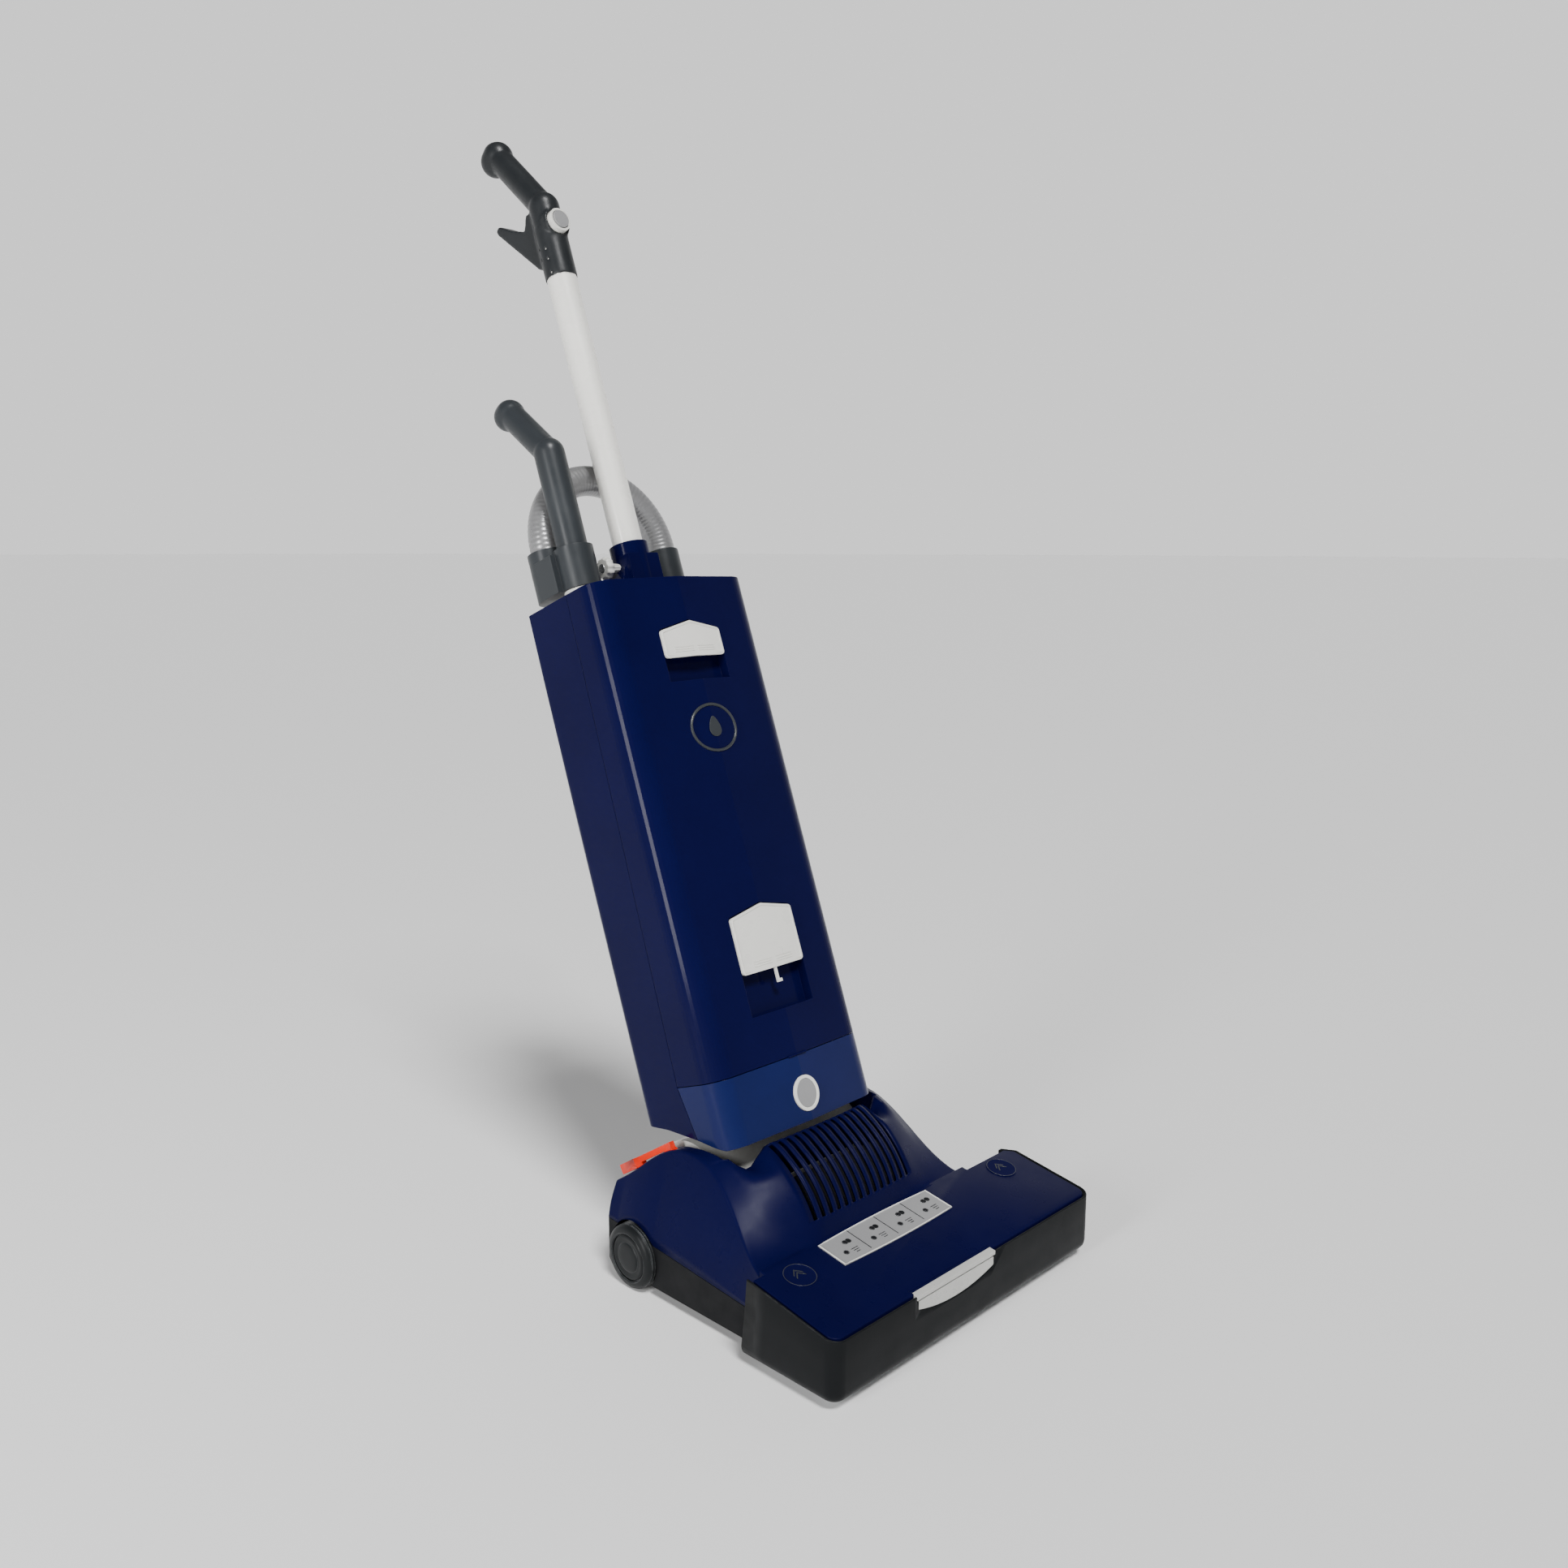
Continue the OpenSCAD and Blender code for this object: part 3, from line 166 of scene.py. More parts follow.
def material(name, colour, rough, metallic=0.0, coat=0.0, shade=0.10, grain=12e-6, grain_scale=700.0,
             wear=0.3, wear_colour=None, stretch=(1, 1, 1), specular=0.5, sheen=0.0):
    """A moulded, painted or woven surface with colour drift, fine grain and worn edges."""
    made = bpy.data.materials.new(name)
    made.use_nodes = True
    tree = made.node_tree
    shader = tree.nodes["Principled BSDF"]
    set_inputs(shader, {"Metallic": metallic, "Coat Weight": coat, "Coat Roughness": 0.06,
                        "Specular IOR Level": specular, "Sheen Weight": sheen})
    place = node(tree, "ShaderNodeTexCoord")
    mapping = node(tree, "ShaderNodeMapping")
    mapping.inputs["Scale"].default_value = stretch
    tree.links.new(place.outputs["Object"], mapping.inputs["Vector"])
    coords = mapping.outputs["Vector"]
    drift = remap(tree, noise(tree, coords, 9.0), 0.0, 1.0)
    base = mix_colour(tree, drift, scaled(colour, 1 - shade), scaled(colour, 1 + shade))
    smudge = noise(tree, coords, 46.0, detail=6.0)
    if wear:
        patchy = remap(tree, noise(tree, coords, 160.0), 0.1, wear)
        worn = node(tree, "ShaderNodeMath", operation="MULTIPLY")
        tree.links.new(edge_mask(tree, EDGE_WEAR), worn.inputs[0])
        tree.links.new(patchy, worn.inputs[1])
        base = mix_colour(tree, worn.outputs["Value"], base, wear_colour or scaled(colour, 1.8))
    tree.links.new(base, shader.inputs["Base Color"])
    tree.links.new(remap(tree, smudge, rough * 0.82, rough * 1.25), shader.inputs["Roughness"])
    rounded = node(tree, "ShaderNodeBevel", samples=4)
    rounded.inputs["Radius"].default_value = EDGE_LOOK
    bump = node(tree, "ShaderNodeBump")
    set_inputs(bump, {"Distance": grain, "Strength": 1.0})
    tree.links.new(noise(tree, coords, grain_scale, detail=2.0), bump.inputs["Height"])
    tree.links.new(rounded.outputs["Normal"], bump.inputs["Normal"])
    tree.links.new(bump.outputs["Normal"], shader.inputs["Normal"])
    MATERIALS[name] = made


def build_materials():
    """One material for each of the record's slots, a satin navy for the head, and a grey copy of the cream
    with painted shade for the head's latch lever.
    """
    material("navy_gloss", (0.0024, 0.0026, 0.034), 0.12, grain=4e-6, grain_scale=240.0,
             wear=0.10, wear_colour=(0.02, 0.024, 0.11), specular=0.065)
    material("navy_satin", (0.0022, 0.0024, 0.031), 0.30, grain=4e-6, grain_scale=240.0,
             wear=0.10, wear_colour=(0.02, 0.024, 0.11), specular=0.045)
    material("band_gloss", (0.0058, 0.0096, 0.064), 0.16, grain=5e-6, grain_scale=260.0,
             wear=0.10, wear_colour=(0.03, 0.045, 0.16), specular=0.13)
    material("bumper_plastic", (0.0066, 0.0074, 0.0083), 0.36, grain=34e-6, grain_scale=1500.0,
             wear=0.7, wear_colour=(0.13, 0.135, 0.14), specular=0.08)
    material("chassis_plastic", (0.0052, 0.0056, 0.0066), 0.5, grain=40e-6, grain_scale=1400.0,
             wear_colour=(0.04, 0.042, 0.045), specular=0.11)
    material("wheel_plastic", (0.0082, 0.0094, 0.0102), 0.36, grain=24e-6, grain_scale=1300.0,
             wear=0.8, wear_colour=(0.22, 0.23, 0.24), specular=0.15)
    material("cream_plastic", (0.78, 0.775, 0.73), 0.30, coat=0.25, grain=10e-6, grain_scale=600.0,
             shade=0.05, wear_colour=(0.52, 0.50, 0.44))
    # Grey copy of the cream: painted shade for the latch lever, lighter at its worn edges
    material("latch_plastic", (0.46, 0.46, 0.44), 0.30, coat=0.25, grain=10e-6, grain_scale=600.0,
             shade=0.05, wear_colour=(0.70, 0.70, 0.66))
    material("panel_plastic", (0.27, 0.27, 0.275), 0.34, coat=0.2, grain=16e-6, grain_scale=1600.0,
             shade=0.05, wear_colour=(0.62, 0.62, 0.62))
    material("tube_paint", (0.88, 0.87, 0.82), 0.27, coat=0.35, grain=9e-6, grain_scale=420.0,
             shade=0.04, wear=0.25, wear_colour=(0.55, 0.54, 0.50))
    material("handle_plastic", (0.0155, 0.0175, 0.0195), 0.36, grain=42e-6, grain_scale=1100.0,
             wear_colour=(0.07, 0.073, 0.078), specular=0.3)
    material("wand_plastic", (0.027, 0.031, 0.035), 0.34, grain=30e-6, grain_scale=1200.0,
             wear_colour=(0.12, 0.125, 0.13), specular=0.3)
    material("hose_plastic", (0.27, 0.27, 0.275), 0.32, metallic=0.45, coat=0.1, grain=4e-6,
             grain_scale=300.0, shade=0.04, wear=0.0)
    material("pedal_plastic", (0.66, 0.018, 0.002), 0.34, grain=18e-6, grain_scale=900.0,
             wear_colour=(0.95, 0.20, 0.08), specular=0.3)
    material("steel", (0.52, 0.53, 0.54), 0.30, metallic=1.0, grain=10e-6, grain_scale=500.0,
             stretch=(0.06, 1, 1), wear_colour=(0.75, 0.76, 0.77))
    material("rubber", (0.010, 0.010, 0.011), 0.68, grain=50e-6, grain_scale=1600.0,
             wear_colour=(0.05, 0.05, 0.05), specular=0.25)
    material("bristle", (0.014, 0.014, 0.018), 0.45, grain=10e-6, wear=0.0, shade=0.3)
    material("filter_paper", (0.60, 0.53, 0.41), 0.92, grain=160e-6, grain_scale=900.0, shade=0.08,
             wear_colour=(0.42, 0.36, 0.27), specular=0.2, sheen=0.35)
    # Near black: painted shade for the dark seen through the grille's slots, on the filter behind them
    material("filter_foam", (0.012, 0.012, 0.013), 0.8, grain=120e-6, grain_scale=900.0, shade=0.2,
             wear_colour=(0.04, 0.04, 0.04), specular=0.2)
    material("lamp", (0.008, 0.008, 0.010), 0.12, grain=4e-6, wear=0.0, specular=0.3)


# ---------------------------------------------------------------- mesh tools

# Degrees above which an edge is sharp, metres within which points are one, and the bend of a flat face
SHARP = 32.0
WELD = 2e-6
FLAT = radians(0.4)
BOX_FACES = [(3, 2, 1, 0), (4, 5, 6, 7), (0, 1, 5, 4), (1, 2, 6, 5), (2, 3, 7, 6), (3, 0, 4, 7)]


def added(name, data):
    """A new object in the scene."""
    shown = bpy.data.objects.new(name, data)
    bpy.context.scene.collection.objects.link(shown)
    return shown


def bake(shown):
    """A piece's modifiers, applied to its mesh."""
    depsgraph = bpy.context.evaluated_depsgraph_get()
    mesh = bpy.data.meshes.new_from_object(shown.evaluated_get(depsgraph))
    shown.modifiers.clear()
    shown.data = mesh


def finish_mesh(made, angle=SHARP):
    """Outward normals, and smooth shading up to the given edge angle."""
    work = bmesh.new()
    work.from_mesh(made)
    bmesh.ops.remove_doubles(work, verts=work.verts, dist=1e-7)
    bmesh.ops.recalc_face_normals(work, faces=work.faces)
    for face in work.faces:
        face.smooth = True
    for edge in work.edges:
        sharp = len(edge.link_faces) == 2 and edge.calc_face_angle(0) > radians(angle)
        edge.smooth = not sharp
    work.to_mesh(made)
    work.free()


def piece(name, verts, faces, slot, body, angle=SHARP):
    """A new visible piece, riding on a CAD body and finished as one of the record's slots."""
    made = bpy.data.meshes.new(name)
    made.from_pydata([tuple(v) for v in verts], [], faces)
    made.validate()
    finish_mesh(made, angle)
    shown = added(name, made)
    made.materials.append(MATERIALS[slot])
    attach(shown, body)
    return shown


def turns(count):
    """Angles in radians of count even steps round a circle."""
    return [2 * pi * step / count for step in range(count)]


def crosswise(axis):
    """An upright direction, or a sideways one for an axis that is nearly upright itself."""
    return Vector((0, 0, 1)) if abs(axis.z) < 0.9 else Vector((1, 0, 0))


def basis(centre, axis, start=None):
    """A matrix with its z along axis."""
    z = Vector(axis).normalized()
    x = Vector(start) if start is not None else crosswise(z)
    x = (x - z * x.dot(z)).normalized()
    made = Matrix((x, z.cross(x), z)).transposed().to_4x4()
    made.translation = centre
    return made


def ring_faces(rings, count, foot=True):
    """Faces of a stack of closed rings of count points, with its top and, if asked, its foot."""
    faces = []
    for ring in range(rings - 1):
        for i in range(count):
            a = ring * count + i
            b = ring * count + (i + 1) % count
            faces.append((a, b, b + count, a + count))
    if foot:
        faces.append(tuple(range(count))[::-1])
    faces.append(tuple((rings - 1) * count + i for i in range(count)))
    return faces


def lathe(profile, placed, steps=64, wobble=None):
    """A closed turned solid. profile is (height, radius) in mm from one end of the axis to the other."""
    verts = []
    for height, radius in profile:
        for turn in turns(steps):
            r = radius * (wobble(turn) if wobble else 1.0)
            verts.append(placed @ Vector((r * cos(turn) * MM, r * sin(turn) * MM, height * MM)))
    return verts, ring_faces(len(profile), steps)


def sweep(path, radius, sides=24, closed_path=False):
    """A tube of a given radius, or radius at each point, in metres, along a path."""
    count = len(path)
    radii = radius if isinstance(radius, list) else [radius] * count
    verts, faces = [], []
    normal = None
    for i, point in enumerate(path):
        before = path[i - 1] if i or closed_path else path[0]
        after = path[(i + 1) % count] if i + 1 < count or closed_path else path[-1]
        along = (after - before).normalized()
        if normal is None:
            seed = crosswise(along)
            normal = (seed - along * seed.dot(along)).normalized()
        else:
            normal = (normal - along * normal.dot(along)).normalized()
        across = along.cross(normal)
        for turn in turns(sides):
            offset = normal * cos(turn) + across * sin(turn)
            verts.append(point + offset * radii[i])
    last = count if closed_path else count - 1
    for i in range(last):
        for side in range(sides):
            a = i * sides + side
            b = i * sides + (side + 1) % sides
            c = ((i + 1) % count) * sides + (side + 1) % sides
            d = ((i + 1) % count) * sides + side
            faces.append((a, b, c, d))
    if not closed_path:
        faces.append(tuple(range(sides))[::-1])
        faces.append(tuple((count - 1) * sides + side for side in range(sides)))
    return verts, faces


def slab(outline, low, high, placed, edge=0.0):
    """A flat plate with a chamfered top edge. outline, low, high and edge are in mm in the placed frame."""
    centre = Vector((sum(p[0] for p in outline), sum(p[1] for p in outline))) / len(outline)
    rings = [(low, 0.0), (high - edge, 0.0), (high, edge)] if edge else [(low, 0.0), (high, 0.0)]
    verts = []
    for level, inset in rings:
        for x, y in outline:
            arm = Vector((x, y)) - centre
            point = centre + arm * max(0.0, 1 - inset / max(arm.length, 1e-6))
            verts.append(placed @ Vector((point.x * MM, point.y * MM, level * MM)))
    return verts, ring_faces(len(rings), len(outline))


def joined(parts):
    """Several (verts, faces) pairs as one."""
    verts, faces = [], []
    for some_verts, some_faces in parts:
        start = len(verts)
        verts.extend(some_verts)
        faces.extend(tuple(i + start for i in face) for face in some_faces)
    return verts, faces


def arc(cx, cy, r, start, end, steps):
    """Points of an arc, angles in degrees."""
    angles = [radians(start + (end - start) * i / steps) for i in range(steps + 1)]
    return [(cx + r * cos(a), cy + r * sin(a)) for a in angles]


def rounded_rect(width, height, r, steps=5):
    """A rectangle's outline with round corners."""
    w, h = width / 2 - r, height / 2 - r
    return (arc(w, -h, r, -90, 0, steps) + arc(w, h, r, 0, 90, steps)
            + arc(-w, h, r, 90, 180, steps) + arc(-w, -h, r, 180, 270, steps))


def bar_between(start, end, width, height, placed_up):
    """A small square bar from start to end, in metres, width across and height along placed_up."""
    along = (end - start).normalized()
    up = (placed_up - along * placed_up.dot(along)).normalized()
    across = along.cross(up) * width / 2
    lift = up * height
    corners = [start - across, start + across, end + across, end - across]
    return corners + [corner + lift for corner in corners], BOX_FACES


def screw(centre, axis, r=3.6):
    """A pan-head screw standing along axis, with a raised cross on its dome that stands in for the cross
    recess.
    """
    placed = basis(centre, axis)
    dome = lathe([(-0.4, r), (0.5, r), (1.1, r * 0.86), (1.5, r * 0.55), (1.6, r * 0.46)], placed, 28)
    arms = []
    for turn in (0.0, pi / 2):
        side = placed.to_3x3() @ Vector((cos(turn), sin(turn), 0))
        middle = placed @ Vector((0, 0, 1.35 * MM))
        arms.append(bar_between(middle - side * r * 0.5 * MM, middle + side * r * 0.5 * MM,
                                0.7 * MM, 0.35 * MM, Vector(axis)))
    return dome, joined(arms)


def weld(shown):
    """A modifier that makes points in one place one point."""
    shown.modifiers.new("weld", "WELD").merge_threshold = WELD


def soften(shown, width, keep_sharp=False):
    """Rounded edges, with flat faces that stay flat."""
    soft = shown.modifiers.new("soften", "BEVEL")
    soft.width = width * MM
    soft.segments = 2
    soft.limit_method = "ANGLE"
    soft.angle_limit = radians(SHARP)
    even = shown.modifiers.new("even", "WEIGHTED_NORMAL")
    even.mode = "FACE_AREA"
    even.weight = 90
    even.keep_sharp = keep_sharp


def dress_cad():
    """Every CAD node that stays gets its slot's material, the latch lever a grey copy of the cream with
    painted shade, and softened edges.
    """
    for name, shown in frame["nodes"].items():
        shown.data.materials.clear()
        shown.data.materials.append(MATERIALS[PAINTED_SHADE_LOOK.get(name, SLOTS[name])])
        weld(shown)
        flat = shown.modifiers.new("flat", "DECIMATE")
        flat.decimate_type = "DISSOLVE"
        flat.angle_limit = FLAT
        soften(shown, EDGE.get(name, USUAL_EDGE))
        for face in shown.data.polygons:
            face.use_smooth = True


def creased(source, name):
    """A copy of a CAD node whose shallow creases between large flat faces stay crisp."""
    large_area, shallow = 6e-4, radians(2.5)
    baked = frame["nodes"][source].data.copy()
    baked.name = name
    work = bmesh.new()
    work.from_mesh(baked)
    bmesh.ops.remove_doubles(work, verts=work.verts, dist=WELD)
    bmesh.ops.dissolve_limit(work, angle_limit=FLAT, verts=work.verts, edges=work.edges)
    for face in work.faces:
        face.smooth = True
    for edge in work.edges:
        if len(edge.link_faces) != 2:
            continue
        bend = edge.calc_face_angle(0)
        large = min(face.calc_area() for face in edge.link_faces) > large_area
        edge.smooth = not (bend > radians(SHARP) or (large and bend > shallow))
    work.to_mesh(baked)
    work.free()
    shown = added(name, baked)
    baked.materials.clear()
    baked.materials.append(MATERIALS[SLOTS[source]])
    soften(shown, EDGE.get(source, USUAL_EDGE), keep_sharp=True)
    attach(shown, BODY_OF[source])
    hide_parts(source)


# Edge softening in mm of the CAD nodes that differ from the usual
USUAL_EDGE = 0.5
EDGE = {
    "bag_door": 0.9, "rear_housing": 0.9, "lower_cover": 0.7, "foot_pedal": 1.2, "indicator_panel": 0.2,
    "indicator_lamps": 0.2, "round_mark_left": 0.15, "round_mark_right": 0.15, "tube_socket": 1.2,
    "cable_hook": 1.2, "wand_cuff": 0.9, "hose_cuff": 0.9, "handle_tube": 0.4,
}
# CAD nodes that get a grey copy of the cream instead of their slot's material: painted shade for the shaded
# latch lever
PAINTED_SHADE_LOOK = {"front_latch": "latch_plastic", "latch_strip": "latch_plastic"}


# ---------------------------------------------------------------- running gear

def build_wheels():
    """Grooved rims and stepped hub caps of the rear wheels."""
    for side, name in ((-1, "left"), (1, "right")):
        low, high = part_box(f"wheel_{name}")
        middle = (low + high) / 2
        inner = Vector((high.x if side < 0 else low.x, middle.y, middle.z))
        placed = basis(inner, (side, 0, 0))
        tyre = [(0.0, 6.0), (0.0, 25.0), (0.6, 28.8), (1.8, 31.0)]
        for groove in range(4):
            start = 3.2 + groove * 3.0
            tyre += [(start, 31.9), (start + 2.0, 31.9), (start + 2.25, 31.2), (start + 2.75, 31.2)]
        tyre += [(15.6, 31.8), (17.4, 30.9), (18.9, 29.2), (19.8, 26.6), (20.0, 24.6), (19.2, 23.4),
                 (17.4, 23.0), (17.0, 6.0)]
        rim = piece(f"wheel_rim_{name}", *lathe(tyre, placed, 96), "wheel_plastic", f"{name}_wheel")
        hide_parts(f"wheel_{name}")
        cap = [(15.6, 5.6), (15.6, 22.6), (18.4, 22.4), (19.3, 21.4), (19.7, 19.6), (19.3, 18.2),
               (19.2, 15.0), (20.0, 14.0), (20.4, 12.0), (20.5, 6.0), (20.5, 0.4)]
        hub = piece(f"wheel_hub_{name}", *lathe(cap, placed, 96), "wheel_plastic", f"{name}_wheel")
        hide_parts(f"wheel_cap_{name}")


def build_brush():
    """Rows of nylon strands set in two spirals that meet in the middle, with a beater rib between them."""
    low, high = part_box("brush_roller")
    middle = Vector((0, (low.y + high.y) / 2, (low.z + high.z) / 2))
    left, right = low.x + 9 * MM, high.x - 9 * MM
    tufts, twist, root_r, rib_r = 56, 150, 18.4, 19.2

    def around(x, turn, r):
        return middle + Vector((x, sin(-turn) * r * MM, cos(turn) * r * MM))

    parts = []
    for row in range(4):
        for i in range(tufts):
            share = i / (tufts - 1)
            x = left + (right - left) * share
            turn = radians(row * 90 + twist * abs(2 * share - 1))
            for strand in range(6):
                lean_x = random.uniform(-1.6, 1.6)
                lean_t = random.uniform(-0.07, 0.07)
                root = turn + random.uniform(-0.05, 0.05)
                foot = around(x + random.uniform(-1.2, 1.2) * MM, root, root_r)
                tip_r = random.uniform(28.6, 29.9)
                end = around(foot.x - middle.x + lean_x * MM, root + lean_t, tip_r)
                parts.append(sweep([foot, end], [0.42 * MM, 0.26 * MM], 5))
    bristles = piece("bristle_rows", *joined(parts), "bristle", "brush")
    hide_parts("brush_bristles")
    ribs = []
    for row in range(4):
        for half in (0, 1):
            path = []
            for i in range(25):
                share = half * 0.5 + i / 48
                turn = radians(row * 90 + 45 + twist * abs(2 * share - 1))
                path.append(around(left + (right - left) * share, turn, rib_r))
            ribs.append(sweep(path, 1.6 * MM, 10))
    piece("beater_ribs", *joined(ribs), "rubber", "brush")


# ---------------------------------------------------------------- head details

def build_wing_details():
    """The panel's rim, lines, marks and lamp bezels, and the two round marks' rings and chevrons."""
    cell_width = 38.4
    lines = [slab(rounded_rect(0.7, 31.5, 0.3, 2), 0, 0.22, wing_frame(u, 85.8, 1.0))
             for u in (-cell_width, 0, cell_width)]
    piece("panel_lines", *joined(lines), "lamp", "head")
    half_width, front, rear, bow = 76.9, 68.7, 101.8, 2
    across_panel = [k / 8 for k in range(-8, 9)]
    border = [(half_width * t, front - bow * (1 - t * t)) for t in across_panel]
    border += [(half_width * t, rear + bow * (1 - t * t)) for t in across_panel[::-1]]
    path = [wing_frame(0, 0, 1.15) @ Vector((x * MM, y * MM, 0)) for x, y in border]
    piece("panel_rim", *sweep(path, 0.65 * MM, 8, closed_path=True), "cream_plastic", "head")
    ticks = []
    for cell in range(4):
        u = (cell - 1.5) * cell_width
        for k in range(3):
            tick = rounded_rect(9.0 - 2 * k, 0.8, 0.35, 2)
            ticks.append(slab(tick, 0, 0.18, wing_frame(u + 6, 79.5 - k * 2.6, 1.0)))
        ticks.append(slab(arc(0, 0, 3.0, 0, 360, 20)[:-1], 0, 0.2, wing_frame(u + 9, 90, 1.0)))
    piece("panel_marks", *joined(ticks), "wheel_plastic", "head")
    rings = []
    bezel = [(0.0, 2.9), (0.35, 2.8), (0.45, 2.4), (0.3, 2.1)]
    for cell in range(4):
        u = -57 + 38 * cell
        for du, y in ((-6, 79), (4, 90)):
            rings.append(lathe(bezel, wing_frame(u + du, y, 1.0), 24))
    piece("lamp_bezels", *joined(rings), "wheel_plastic", "head")
    for name in ("left", "right"):
        low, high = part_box(f"round_mark_{name}")
        u = ((low.x + high.x) / 2 - ORIGIN.x) / MM
        spot = wing_frame(u, 82, 0.32)
        chevron = [(-5.5, -3.4), (0, 2.6), (5.5, -3.4), (5.5, -5.2), (0, 0.8), (-5.5, -5.2)]
        marks = [slab(chevron, 0, 0.2, spot @ Matrix.Translation((0, y * MM, 0))) for y in (2, 6)]
        piece(f"mark_{name}_arrow", *joined(marks), "wand_plastic", "head")
        rim = sweep([wing_frame(u, 82, 0.42) @ Vector((15 * cos(a) * MM, 15 * sin(a) * MM, 0))
                     for a in turns(48)], 0.34 * MM, 8, closed_path=True)
        piece(f"mark_{name}_rim", *rim, "wand_plastic", "head")


def wing_frame(u, y, lift=0.0):
    """The wing's surface frame at u and y, z along its normal."""
    tilt = Matrix.Rotation(atan(WING_SLOPE), 4, "X")
    made = HEAD @ Matrix.Translation((u * MM, y * MM, wing_z(y) * MM)) @ tilt
    return made @ Matrix.Translation((0, 0, lift * MM))


def spline(points, t):
    """A curve near evenly keyed points, evened out over its neighbours except at its ends."""
    reach = max(0.0, min(1.2, t, len(points) - 1 - t))
    spots = [through(points, t + reach * shift) for shift in (-1, -0.5, 0, 0.5, 1)]
    weights = (1, 2, 3, 2, 1)
    return tuple(sum(w * value for w, value in zip(weights, axis)) / sum(weights) for axis in zip(*spots))


def through(points, t):
    """A smooth curve through evenly keyed points, as tuples."""
    last = len(points) - 1
    t = min(max(t, 0.0), last)
    k = min(int(t), last - 1)
    f = t - k
    p0, p1, p2, p3 = (points[min(max(k + j, 0), last)] for j in (-1, 0, 1, 2))
    return tuple(0.5 * (2 * b + (c - a) * f + (2 * a - 5 * b + 4 * c - d) * f * f
                        + (3 * b - a - 3 * c + d) * f ** 3) for a, b, c, d in zip(p0, p1, p2, p3))


# The hump's cover: its middle, two lines to each side and its ridge, at matching stations
MIDDLE = [(103.2, 83.7), (105.6, 85.3), (107.6, 91), (112, 106.5), (123, 124.5), (139, 141),
          (159, 153.5), (172, 157)]
FLANK = [(103.6, 83.75), (106.4, 85.2), (109.2, 90.8), (115.5, 105.3), (126.8, 122.4), (143, 139.2),
         (163, 152.0), (176, 155.8)]
SHOULDER = [(104.2, 83.7), (108.6, 84.2), (114.3, 87.4), (124.8, 99.8), (137.6, 116), (152.5, 132.6),
            (172.5, 146.8), (187, 151.6)]
RIDGE = [(145.6, 107.4, 77.0), (143.8, 112, 78.6), (141.2, 120.5, 81.6), (136.4, 136, 91.5),
         (131.6, 150, 104.5), (127.4, 166, 119.5), (123.2, 186, 136.5), (121.2, 205, 145.2),
         (121, 224, 148.2), (121, 243, 146.4), (123.6, 263, 138.6), (127, 282, 124), (130, 292, 113.5),
         (132.6, 306, 103), (135, 320, 93.5)]
# Half widths of the well between the cheeks and of the cheeks' feet, the cheeks' rear end and its foot
WELL = 109.0
CHEEK = 146.0
CHEEK_REAR = 320
COVER_FOOT = 59.5
# The station at which the front slope ends and only the cheeks go on
FRONT_END = len(MIDDLE) - 1


def foot_z(y):
    """Lower edge of the cover's side, clear of the wheel."""
    line = 40.7 + (y - 105) * 18.5 / 224
    reach = 35 ** 2 - (y - 282) ** 2
    return max(line, 32 + sqrt(reach)) if reach > 0 else line


def dip(t, u):
    """Depth in mm of the two hollows beside the grille, through which the neck shows."""
    start, centre, reach, deepest = 5.0, 87, 22, 19
    if t <= start or abs(u - centre) >= reach:
        return 0.0
    run = min(1.0, (t - start) / 2.0)
    return deepest * run * run * (3 - 2 * run) * cos(pi / 2 * (u - centre) / reach) ** 2


def across(t, u):
    """A point of the cover's top at station t, from the middle out to the ridge."""
    point = cover_top(t, u)
    point.z -= dip(t, u)
    return point


def cover_top(t, u):
    """The same point before the hollows are sunk into it."""
    w, ry, rz = spline(RIDGE, t)
    if t >= FRONT_END and u >= WELL - 1e-6:
        fade = min(1.0, (t - FRONT_END) / 1.5)
        share = (w - u) / (w - WELL)
        inner_y = ry - 12 * (1 - fade)
        inner_z = rz + 4.3 * (1 - fade)
        crown = 0.25 * share * (1 - share)
        return Vector((u, ry + (inner_y - ry) * share, rz + (inner_z - rz) * share + crown))
    middle_y, middle_z = spline(MIDDLE, t)
    keys = [(0.0, middle_y, middle_z), (45.0, middle_y + 1.0, middle_z - 0.2), (66.0, *spline(FLANK, t)),
            (97.0, *spline(SHOULDER, t)), (w, ry, rz)]
    ku = [k[0] for k in keys]
    i = max(j for j in range(4) if u >= ku[j] - 1e-9)
    out = [u]
    for axis in (1, 2):
        slopes = []
        for j in range(5):
            if j == 0:
                slopes.append(0.0)
            elif j == 4:
                slopes.append((keys[4][axis] - keys[3][axis]) / (ku[4] - ku[3]))
            else:
                left = (keys[j][axis] - keys[j - 1][axis]) / (ku[j] - ku[j - 1])
                right = (keys[j + 1][axis] - keys[j][axis]) / (ku[j + 1] - ku[j])
                slopes.append(0.5 * (left + right) if left * right > 0 else 0.0)
        h = ku[i + 1] - ku[i]
        f = (u - ku[i]) / h
        a, b = keys[i][axis], keys[i + 1][axis]
        out.append((2 * f ** 3 - 3 * f * f + 1) * a + (f ** 3 - 2 * f * f + f) * h * slopes[i]
                   + (-2 * f ** 3 + 3 * f * f) * b + (f ** 3 - f * f) * h * slopes[i + 1])
    return Vector(out)


def face_outward(mesh):
    """Every sheet of an open shell is turned so that it faces away from the shell's middle."""
    work = bmesh.new()
    work.from_mesh(mesh)
    middle = sum((v.co for v in work.verts), Vector()) / len(work.verts)
    left = set(work.faces)
    while left:
        sheet = [left.pop()]
        for face in sheet:
            for edge in face.edges:
                for other in edge.link_faces:
                    if other in left:
                        left.remove(other)
                        sheet.append(other)
        facing = sum(face.calc_area() * face.normal.dot(face.calc_center_median() - middle) for face in sheet)
        if facing < 0:
            bmesh.ops.reverse_faces(work, faces=sheet)
    work.to_mesh(mesh)
    work.free()


